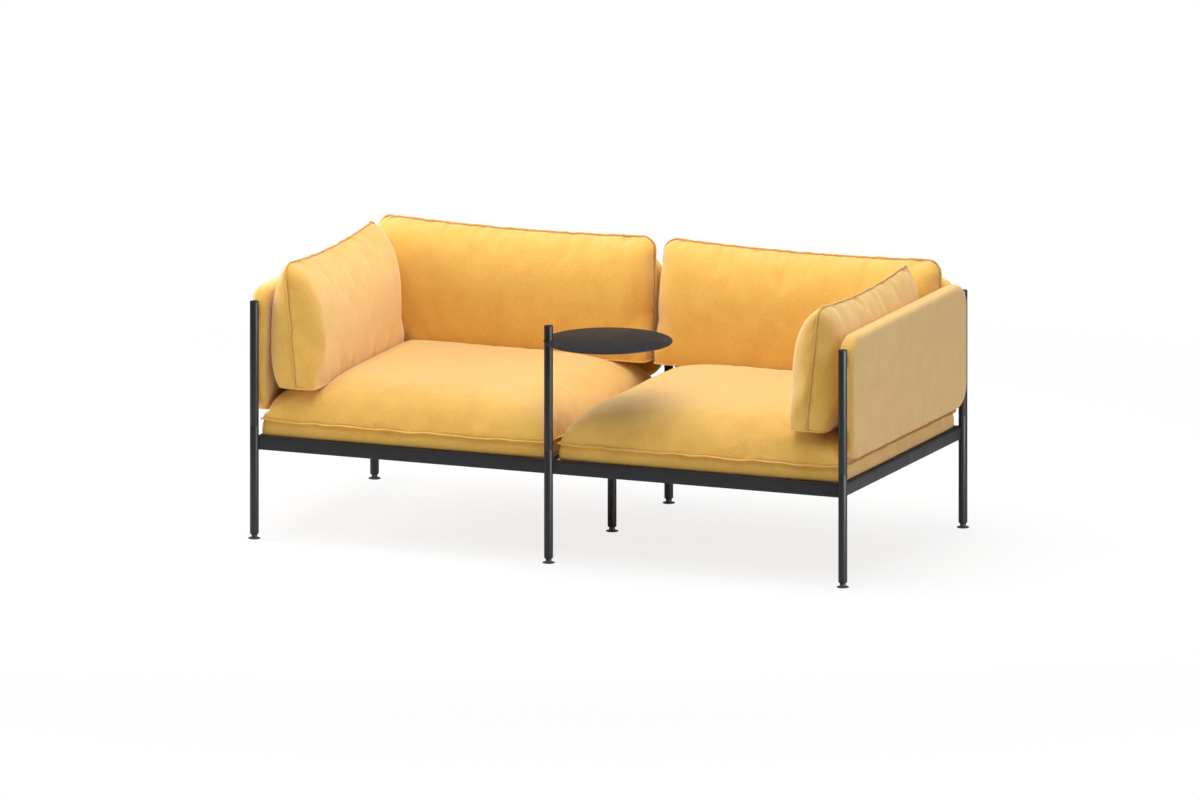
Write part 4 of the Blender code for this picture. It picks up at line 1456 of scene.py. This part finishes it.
    def settle(self, piece: bpy.types.Object) -> None:
        """Keeps the filled cover out of the cushions and the panel that press on it.

        Args:
            piece: The cover.
        """
        points = coordinates(piece.data)
        own_x = (points[:, 0] - self.middle.x) * self.side
        own_y = points[:, 1] - self.middle.y
        under = np.maximum(own_x - self.face_x, own_y - self.face_y) > -0.0005
        points[under, 2] = np.minimum(points[under, 2], self.rest - GAP)
        tucked = own_x > self.tuck
        points[tucked, 2] = np.minimum(points[tucked, 2], self.panel_bottom - GAP)
        points[:, 2] = np.maximum(points[:, 2], self.bottom)
        set_coordinates(piece.data, points)

    def finish(self, piece: bpy.types.Object, kit: SewingKit) -> None:
        """Gathers the cloth along the seam, then sews on the lip and the stitches.

        Args:
            piece: The filled cover.
            kit: What sews.
        """
        subdivide(piece)
        line_underside(piece)
        seam = coordinates(piece.data)[self.seam_numbers]
        out = np.cross(np.gradient(seam, axis=0), UP)
        out[0] = out[-1] = out[1] + out[-2]
        outward = smoothed(away_from_middle(seam, out)[:-1], True)
        outward = np.vstack([outward, outward[:1]])
        SEAT_GATHERS.press(piece.data, seam, outward, self.seed + 20)
        self.settle(piece)
        body = Body.FRAME.value
        dress(piece, WOOL, Slot.WOOL, body, self.name)
        lean = self.lip_wave.along(distances(seam), self.seed)
        leaning = unit(outward + UP * lean[:, None])
        edge = seam + leaning * (self.lip * 0.5 - self.lip_tuck)
        lip = Seam(edge[:-1], leaning[:-1], True)
        kit.sew_lip(f"{self.name}_seam", lip, self.lip, self.lip_thickness, body)
        line = edge + leaning * self.stitch_rise + UP * self.lip_thickness * STITCH_LEVEL
        row = Seam(line[:-1], np.tile(UP, (len(line) - 1, 1)), True)
        kit.sew_stitches(f"{self.name}_stitches", row, body)


def ringed_mesh(name: str, rings: Sequence[Sequence[tuple[float, float, float]]]) -> bpy.types.Mesh:
    """A closed mesh over rings of points, smooth but for its true corners.

    Args:
        name: Name of the mesh.
        rings: The rings in order. They start and end with a single point, or else the last ring
            joins the first.

    Returns:
        The mesh.
    """
    shape = bmesh.new()
    rows = [[shape.verts.new(point) for point in ring] for ring in rings]
    if len(rows[0]) > 1:
        rows.append(rows[0])
    sides = max(len(row) for row in rows)
    for low, high in zip(rows[:-1], rows[1:]):
        for i in range(sides):
            j = (i + 1) % sides
            ring = (low[i % len(low)], low[j % len(low)], high[j % len(high)], high[i % len(high)])
            shape.faces.new(list(dict.fromkeys(ring)))
    bmesh.ops.recalc_face_normals(shape, faces=shape.faces)
    mesh = bpy.data.meshes.new(name)
    shape.to_mesh(mesh)
    shape.free()
    mesh.shade_smooth()
    mesh.set_sharp_from_angle(angle=math.radians(40))
    return mesh


def turned_mesh(name: str, profile: Sequence[tuple[float, float]], sides: int) -> bpy.types.Mesh:
    """A solid of revolution about Z.

    Args:
        name: Name of the mesh.
        profile: Radius and height of each point of its section, which starts and ends on the
            axis.
        sides: Number of sides.

    Returns:
        The mesh.
    """
    rings = []
    for radius, height in profile:
        count = 1 if radius == 0.0 else sides
        turn = [2 * math.pi * i / sides for i in range(count)]
        rings.append([(radius * math.cos(a), radius * math.sin(a), height) for a in turn])
    return ringed_mesh(name, rings)


def edge_section(
    radius: float, low: float, high: float, low_round: float, high_round: float, middle: float | None
) -> list[tuple[float | None, float]]:
    """Section of a round piece from its underside to its top, with both edges rounded.

    Args:
        radius: Radius of the piece.
        low: Height of its underside.
        high: Height of its top.
        low_round: Radius of the lower edge.
        high_round: Radius of the upper edge.
        middle: Radius at which the section starts and ends.

    Returns:
        Radius and height of each point.
    """
    section = [(middle, low)]
    section += rounded((radius - low_round, low + low_round), low_round, -90)
    section += rounded((radius - high_round, high - high_round), high_round, 0)
    return [*section, (middle, high)]


def rounded(corner: tuple[float, float], radius: float, start: float) -> list[tuple[float, float]]:
    """Points round a quarter circle of a section.

    Args:
        corner: Centre of the arc, as radius and height.
        radius: Radius of the arc.
        start: Angle at which the arc starts, in degrees.

    Returns:
        Radius and height of each point.
    """
    steps = 4
    angles = [math.radians(start + 90 * step / steps) for step in range(steps + 1)]
    return [(corner[0] + radius * math.cos(a), corner[1] + radius * math.sin(a)) for a in angles]


def placed_object(name: str, mesh: bpy.types.Mesh, place: Vector) -> bpy.types.Object:
    """A new object at the origin, with its place in its mesh.

    Args:
        name: Name of the object.
        mesh: Its mesh, about its own middle.
        place: Where its middle goes.

    Returns:
        The object.
    """
    for point in mesh.vertices:
        point.co += place
    return linked(name, mesh)


def dress_tube(node: str, low_round: float, high_round: float, body: Body) -> None:
    """Dresses an upright tube of the frame.

    Args:
        node: The frame's node.
        low_round: Radius of the lower edge.
        high_round: Radius of the upper edge.
        body: The body that it rides on.
    """
    place = Place.of(node)
    low, high = place.low.z, place.high.z
    section = edge_section(TUBE_RADIUS, low, high, low_round, high_round, 0.0)
    piece = placed_object(f"{node}_tube", turned_mesh(node, section, TUBE_SIDES), place.spot)
    dress(piece, COATED_STEEL, Slot.STEEL, body.value, node)


@dataclass
class SteelFrame:
    """The welded steel frame: rails, legs and the posts that stand on them."""

    cap_radius: float = 0.0016
    seam_radius: float = 0.0007
    leg_radius: float = 0.004
    merge_distance: float = 0.00001

    def build_posts(self) -> None:
        """Posts that stand on the legs, and their lower legs."""
        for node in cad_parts:
            if node.startswith("post_"):
                dress_tube(node, self.seam_radius, self.cap_radius, Body.FRAME)
            elif node.startswith("leg_"):
                dress_tube(node, self.leg_radius, self.seam_radius, Body.FRAME)

    def build_rails(self) -> None:
        """Box-section rails with soft edges, from the frame's own shapes."""
        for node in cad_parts:
            if "_rail" not in node:
                continue
            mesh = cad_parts[node].data.copy()
            shape = bmesh.new()
            shape.from_mesh(mesh)
            bmesh.ops.remove_doubles(shape, verts=shape.verts, dist=self.merge_distance)
            flat = math.radians(0.5)
            bmesh.ops.dissolve_limit(shape, angle_limit=flat, verts=shape.verts, edges=shape.edges)
            shape.to_mesh(mesh)
            shape.free()
            piece = linked(f"{node}_box", mesh)
            mesh.shade_smooth()
            mesh.set_sharp_from_angle(angle=math.radians(50))
            weighted = piece.modifiers.new("even_faces", "WEIGHTED_NORMAL")
            weighted.keep_sharp = True
            work_in(piece)
            dress(piece, COATED_STEEL, Slot.STEEL, Body.FRAME.value, node)

    def build_fixings(self) -> None:
        """Gives the hidden joints, strips and decks their real finishes."""
        finishes = {"spigot_": ZINC, "strip_": ZINC, "swivel_washer": NYLON, "seat_deck": BIRCH}
        for node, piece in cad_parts.items():
            for start, finish in finishes.items():
                if node.startswith(start):
                    for place in piece.material_slots:
                        place.material = finish.material()


@dataclass
class TrayTable:
    """The round steel tray and the post that carries it near its rim."""

    cap_radius: float = 0.0016
    foot_radius: float = 0.0007
    edge_radius: float = 0.0012
    sides: int = 160

    def build_post(self) -> None:
        """The post that swivels in the middle front leg."""
        dress_tube("tray_post", self.foot_radius, self.cap_radius, Body.TRAY)

    def build_disc(self) -> None:
        """The disc, bored for its post."""
        place = Place.of("tray")
        post = Place.of("tray_post").centre - place.centre
        low, high, edge = place.low.z, place.high.z, self.edge_radius
        rings = []
        for radius, height in edge_section(place.size.x / 2, low, high, edge, edge, None):
            ring = []
            for step in range(self.sides):
                angle = 2 * math.pi * step / self.sides
                out_x, out_y = math.cos(angle), math.sin(angle)
                reach = TUBE_RADIUS + GAP
                if radius is not None:
                    across = post.x * out_x + post.y * out_y
                    reach = math.sqrt(across**2 + radius**2 - post.x**2 - post.y**2) - across
                ring.append((post.x + reach * out_x, post.y + reach * out_y, height))
            rings.append(ring)
        piece = placed_object("tray_disc", ringed_mesh("tray", rings), place.spot)
        dress(piece, COATED_STEEL, Slot.STEEL, Body.TRAY.value, "tray")


@dataclass
class LevellingFoot:
    """A screw-in levelling foot: domed pad, ribbed neck and stud."""

    pad: float = 0.0165
    neck: float = 0.00775
    rim: float = 0.0022
    pad_height: float = 0.0045
    neck_height: float = 0.0070
    stud: float = 0.004
    edge: float = 0.0009
    chamfer: float = 0.0006
    dome_steps: int = 6
    ribs: int = 4
    rib: float = 0.0009
    rib_pitch: float = 0.0016
    rib_lift: float = 0.0014

    def section(self, high: float) -> list[tuple[float, float]]:
        """Section of the foot, from the floor up.

        Args:
            high: Height of the stud's end.

        Returns:
            Radius and height of each point.
        """
        section = [(0.0, 0.0), *rounded((self.pad - self.edge, self.edge), self.edge, -90)]
        shoulder = self.pad - self.chamfer
        section += [(self.pad, self.rim - 0.0005), (shoulder, self.rim)]
        for step in range(1, self.dome_steps + 1):
            share = step / self.dome_steps
            height = self.rim + (self.pad_height - self.rim) * share**1.6
            section.append((shoulder - (shoulder - self.neck) * share, height))
        top = self.pad_height + self.neck_height
        section += [(self.neck, top - self.chamfer), (self.neck - self.chamfer, top)]
        return [*section, (self.stud, top), (self.stud, high), (0.0, high)]

    def build(self) -> None:
        """A foot under every leg, each on its own body."""
        collars = self.collar_tree()
        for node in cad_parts:
            if not node.startswith("foot_"):
                continue
            place = Place.of(node)
            mesh = turned_mesh(node, self.section(place.high.z), TUBE_SIDES)
            piece = placed_object(f"{node}_pad", mesh, place.spot)
            dress(piece, NYLON, Slot.NYLON, node, node)
            start = bpy.data.meshes.new("neck")
            start.from_pydata([place.spot + Vector((0.0, 0.0, self.pad_height + self.rib_lift))], [], [])
            dress(collars.make(f"{node}_ribs", start), None, Slot.NYLON, node)

    def collar_tree(self) -> SewingTree:
        """A tree that stacks rounded ribs up the neck from a point.

        Returns:
            The tree.
        """
        sizes = {"Ribs": self.ribs, "Pitch": self.rib_pitch, "Radius": self.neck, "Rib": self.rib}
        sewing = SewingTree("neck_ribs", sizes, NYLON)
        tree, given = sewing.tree, sewing.given
        half = add_node(tree, "ShaderNodeMath", {0: given["Rib"], 1: 0.5}, operation="MULTIPLY")
        hoop, ring = (
            add_node(tree, "GeometryNodeCurvePrimitiveCircle", {"Resolution": count, "Radius": radius})
            for count, radius in ((40, given["Radius"]), (8, half))
        )
        rib = add_node(tree, "GeometryNodeCurveToMesh", {"Curve": hoop, "Profile Curve": ring})
        pitch = add_node(tree, "ShaderNodeCombineXYZ", {"Z": given["Pitch"]})
        stack = add_node(tree, "GeometryNodeMeshLine", {"Count": given["Ribs"], "Offset": pitch})
        feeds = {"Points": stack, "Instance": rib}
        up_neck = add_node(tree, "GeometryNodeInstanceOnPoints", feeds)
        ribs = add_node(tree, "GeometryNodeRealizeInstances", {"Geometry": up_neck})
        feeds = {"Points": given["Path"], "Instance": ribs}
        sewing.end(add_node(tree, "GeometryNodeInstanceOnPoints", feeds))
        return sewing


@dataclass
class UpholsteredPanel:
    """An upholstered board between two posts, with a thin pad under its cloth."""

    node: str
    corner: float = 0.065
    edge: float = 0.016
    swell: float = 0.0016
    face_inset: float = 0.050
    ring_rise: float = 0.004
    corner_steps: int = 14
    side_steps: int = 46
    edge_steps: int = 7

    def outline(self, half_length: float, half_height: float, inset: float) -> np.ndarray:
        """Points round the board's outline, moved inwards.

        Args:
            half_length: Half the board's length.
            half_height: Half its height.
            inset: Distance inwards.

        Returns:
            The points, once round.
        """
        radius = max(self.corner - inset, 0.004)
        x, z = half_length - self.corner, half_height - self.corner
        centres = np.array([(x, z), (-x, z), (-x, -z), (x, -z)])
        points = []
        for quarter, centre in enumerate(centres):
            turn = (quarter + np.arange(self.corner_steps + 1) / self.corner_steps) * math.pi / 2
            arc = centre + radius * np.stack([np.cos(turn), np.sin(turn)], axis=-1)
            steps = self.side_steps if quarter % 2 == 0 else self.side_steps // 3
            ahead = centres[(quarter + 1) % 4] - centre
            straight = arc[-1] + ahead * np.arange(1, steps)[:, None] / steps
            points += [arc, straight]
        return np.concatenate(points)

    def sections(self, half: float) -> list[tuple[float, float]]:
        """Section of the padded board, from the middle of one face round to the other.

        Args:
            half: Half the board's thickness.

        Returns:
            Inset and depth of each point.
        """
        front = [(self.face_inset, half + self.swell)]
        front += [(0.034, half + self.swell * 0.6), (0.024, half + self.swell * 0.25)]
        for a in np.linspace(0, math.pi / 2, self.edge_steps + 1):
            front.append((self.edge * (1 - math.sin(a)), half - self.edge * (1 - math.cos(a))))
        return front + [(inset, -depth) for inset, depth in reversed(front)]

    def build(self) -> None:
        """The board with its cloth."""
        place = Place.of(self.node)
        along_x = place.size.x > place.size.y
        length, thickness = place.size.xy if along_x else place.size.yx
        half_length, half_height = length / 2, place.size.z / 2
        skin = ClothSkin(f"{self.node}_cover")
        rings = []
        for inset, depth in self.sections(thickness / 2):
            flat = self.outline(half_length, half_height, inset)
            points = np.stack([flat[:, 0], np.full(len(flat), depth), flat[:, 1]], axis=-1)
            points = points if along_x else points[:, (1, 0, 2)]
            rings.append(skin.add_points(points + np.array(place.centre)))
        edge = self.outline(half_length, half_height, 0.0)
        skin.add_rings(rings, edge, [k * self.ring_rise for k in range(len(rings))])
        for ring in (rings[0], rings[-1]):
            skin.add_face(ring, self.outline(half_length, half_height, self.face_inset))
        piece = skin.build()
        dress(piece, WOOL, Slot.WOOL, Body.FRAME.value, self.node)


@dataclass(frozen=True)
class Lamp:
    """A soft rectangular lamp: place, sides, power, and whether it lights or only shows in gloss."""

    name: str
    spot: tuple[float, float, float]
    size: tuple[float, float]
    power: float
    mirrored: bool = False
    lights: bool = True

    def hang(self, aim: Vector) -> None:
        """Hangs the lamp so that it faces a point.

        Args:
            aim: The point.
        """
        data = bpy.data.lights.new(self.name, "AREA")
        data.shape = "RECTANGLE"
        data.size, data.size_y = self.size
        data.energy = self.power
        holder = linked(self.name, data)
        holder.location = self.spot
        turn_to(holder, aim - holder.location)
        holder.visible_glossy = self.mirrored
        holder.visible_diffuse = self.lights


STUDIO_LAMPS = (
    Lamp("overhead", (0.0, 0.1, 3.0), (2.8, 2.2), 68.0),
    Lamp("front_high", (0.0, -1.6, 2.9), (3.2, 1.6), 32.0),
    Lamp("back", (0.0, 2.6, 2.6), (4.0, 2.0), 50.0),
    Lamp("left", (-3.4, -0.2, 1.3), (2.0, 2.4), 90.0),
    Lamp("front_left", (-2.4, -2.6, 1.6), (2.4, 2.4), 22.0),
    Lamp("right_top", (2.8, -0.6, 2.5), (3.0, 3.0), 18.0),
    Lamp("right", (3.4, -0.8, 1.2), (0.5, 2.2), 12.0),
    Lamp("right_gloss", (3.4, -0.9, 1.2), (0.7, 2.6), 320.0, True, False),
)


def turn_to(holder: bpy.types.Object, direction: Vector) -> None:
    """Turns a camera or a lamp so that it looks in a direction."""
    holder.rotation_mode = "QUATERNION"
    holder.rotation_quaternion = direction.to_track_quat("-Z", "Y")


@dataclass
class Studio:
    """Pale floor, soft lamps and the camera at the photograph's angle."""

    azimuth: float = 22.22
    elevation: float = 11.74
    frame_width: float = 3.2094
    aim: tuple[float, float, float] = (-0.025, 0.425, 0.361)
    distance: float = 8.0
    floor_size: float = 16.0
    floor_drop: float = 0.0005
    floor_glow: float = 0.8
    soft_light: float = 0.08
    shadow_reach: tuple[float, float] = (1.6, 3.2)
    lamp_aim: tuple[float, float, float] = (0.0, 0.0, 0.4)
    lamps: tuple[Lamp, ...] = STUDIO_LAMPS

    def build_camera(self, front: float) -> None:
        """The camera, looking without perspective as the photograph does.

        Args:
            front: Where the front posts stand on Y.
        """
        data = bpy.data.cameras.new("camera")
        data.type = "ORTHO"
        data.ortho_scale = self.frame_width
        camera = linked("camera", data)
        a, e = math.radians(self.azimuth), math.radians(self.elevation)
        back = Vector((math.sin(a) * math.cos(e), -math.cos(a) * math.cos(e), math.sin(e)))
        camera.location = Vector(self.aim) + Vector((0.0, front, 0.0)) + back * self.distance
        turn_to(camera, -back)
        bpy.context.scene.camera = camera

    def build_world(self) -> None:
        """Even white surroundings, plain white to the camera and soft to everything else."""
        world = bpy.data.worlds.new("studio")
        world.use_nodes = True
        tree = world.node_tree
        tree.nodes.clear()
        rays = add_node(tree, "ShaderNodeLightPath").outputs
        feeds = {0: rays["Is Camera Ray"], 1: rays["Is Transmission Ray"]}
        seen = add_node(tree, "ShaderNodeMath", feeds, operation="MAXIMUM")
        soft, white = (
            add_node(tree, "ShaderNodeBackground", {"Color": linear("FFFFFF"), "Strength": strength})
            for strength in (self.soft_light, 1.0)
        )
        mixed = add_node(tree, "ShaderNodeMixShader", {0: seen, 1: soft, 2: white})
        add_node(tree, "ShaderNodeOutputWorld", {"Surface": mixed})
        bpy.context.scene.world = world

    def build_floor(self) -> None:
        """A pale floor that keeps the sofa's shadow and fades out before its edge."""
        half = self.floor_size / 2
        outline = [(-half, -half, 0), (half, -half, 0), (half, half, 0), (-half, half, 0)]
        mesh = bpy.data.meshes.new("floor")
        mesh.from_pydata(outline, [], [(0, 1, 2, 3)])
        floor = placed_object("floor", mesh, Vector((0.0, 0.0, -self.floor_drop)))
        material = bpy.data.materials.new("studio_floor")
        material.use_nodes = True
        tree = material.node_tree
        tree.nodes.clear()
        place = add_node(tree, "ShaderNodeTexCoord").outputs["Object"]
        away = add_node(tree, "ShaderNodeVectorMath", {0: place}, operation="LENGTH")
        near, far = self.shadow_reach
        feeds = {"Value": away.outputs["Value"], "From Min": near, "From Max": far}
        fade = add_node(tree, "ShaderNodeMapRange", feeds, interpolation_type="SMOOTHSTEP")
        shade = add_node(tree, "ShaderNodeBsdfDiffuse", {"Color": linear("F7F7F7")})
        glow = add_node(tree, "ShaderNodeEmission", {"Color": linear("FFFFFF"), "Strength": 1.0})
        feeds = {0: add_node(tree, "ShaderNodeLightPath").outputs["Is Camera Ray"]}
        feeds[1] = self.floor_glow
        lift = add_node(tree, "ShaderNodeMath", feeds, operation="MULTIPLY")
        pale = add_node(tree, "ShaderNodeMixShader", {0: lift, 1: shade, 2: glow})
        clear = add_node(tree, "ShaderNodeBsdfTransparent")
        mixed = add_node(tree, "ShaderNodeMixShader", {0: fade, 1: pale, 2: clear})
        add_node(tree, "ShaderNodeOutputMaterial", {"Surface": mixed})
        mesh.materials.append(material)

    def build(self, front: float) -> None:
        """Everything round the sofa.

        Args:
            front: Where the front posts stand on Y.
        """
        self.build_camera(front)
        self.build_world()
        self.build_floor()
        for lamp in self.lamps:
            lamp.hang(Vector(self.lamp_aim))
        bpy.context.scene.view_settings.view_transform = "Standard"


@dataclass
class Upholstery:
    """All the cushions, set out from the frame and filled together."""

    flange: float = 0.007
    cushion_foot: float = 0.1455
    ridge_lip: float = 0.004
    tuck: float = 0.0015
    arm_sag: float = 0.014
    back_sag: float = 0.009

    def seats(self) -> list[SeatCushion]:
        """Sets out the two seat cushions.

        Returns:
            The cushions.
        """
        made = []
        rest = Place.of("arm_cushion_right").low.z
        panel = Place.of("arm_panel_right").low
        back = Place.of("back_panel_left").low.y
        for side, sign, seed in (("left", -1, 11), ("right", 1, 23)):
            node = f"seat_cushion_{side}"
            place = Place.of(node)
            half_x = place.size.x / 2 - self.flange
            half_y = place.size.y / 2 - self.flange
            tuck = panel.x - abs(place.centre.x) - self.tuck
            face_x = panel.x - self.cushion_foot - abs(place.centre.x)
            face_y = back - self.cushion_foot - place.centre.y
            size = (half_x, half_y, place.low.z, rest, panel.z, tuck, face_x, face_y)
            made.append(SeatCushion(node, sign, place.centre, *size, seed))
        return made

    def loose(self) -> list[LooseCushion]:
        """Sets out the two arm cushions and the two back cushions.

        Returns:
            The cushions.
        """
        made = []
        for side, sign in (("left", -1), ("right", 1)):
            arm, back = f"arm_cushion_{side}", f"back_cushion_{side}"
            place, panel = Place.of(arm), Place.of(f"arm_panel_{side}")
            face = panel.high.x if sign < 0 else panel.low.x
            origin = Vector((face, place.centre.y, place.low.z))
            size = (place.size.y, place.size.z - self.ridge_lip, self.arm_sag)
            made.append(LooseCushion(arm, origin, -sign * math.pi / 2, *size, 31 + sign))
            place, panel = Place.of(back), Place.of(f"back_panel_{side}")
            origin = Vector((place.centre.x, panel.low.y, place.low.z))
            size = (place.size.x, place.size.z - self.ridge_lip, self.back_sag)
            made.append(LooseCushion(back, origin, 0.0, *size, 51 + sign))
        return made

    def build(self) -> None:
        """Cuts, fills and sews every cushion."""
        cushions = [*self.seats(), *self.loose()]
        covers = [cushion.cover() for cushion in cushions]
        reaches = [cushion.reach for cushion in cushions]
        Filling().blow_up([(*cover, reach) for cover, reach in zip(covers, reaches)])
        for cushion, (piece, _) in zip(cushions, covers):
            cushion.settle(piece)
        kit = SewingKit()
        for cushion, (piece, _) in zip(cushions, covers):
            cushion.finish(piece, kit)


def main() -> None:
    logging.basicConfig(level=logging.INFO, format="%(message)s")
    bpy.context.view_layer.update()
    steel = SteelFrame()
    steel.build_rails()
    steel.build_posts()
    steel.build_fixings()
    tray = TrayTable()
    tray.build_post()
    tray.build_disc()
    LevellingFoot().build()
    for node in ("arm_panel_left", "arm_panel_right", "back_panel_left", "back_panel_right"):
        UpholsteredPanel(node).build()
    Upholstery().build()
    Studio().build(Place.of("post_front_left").centre.y)


if __name__ == "__main__":
    main()
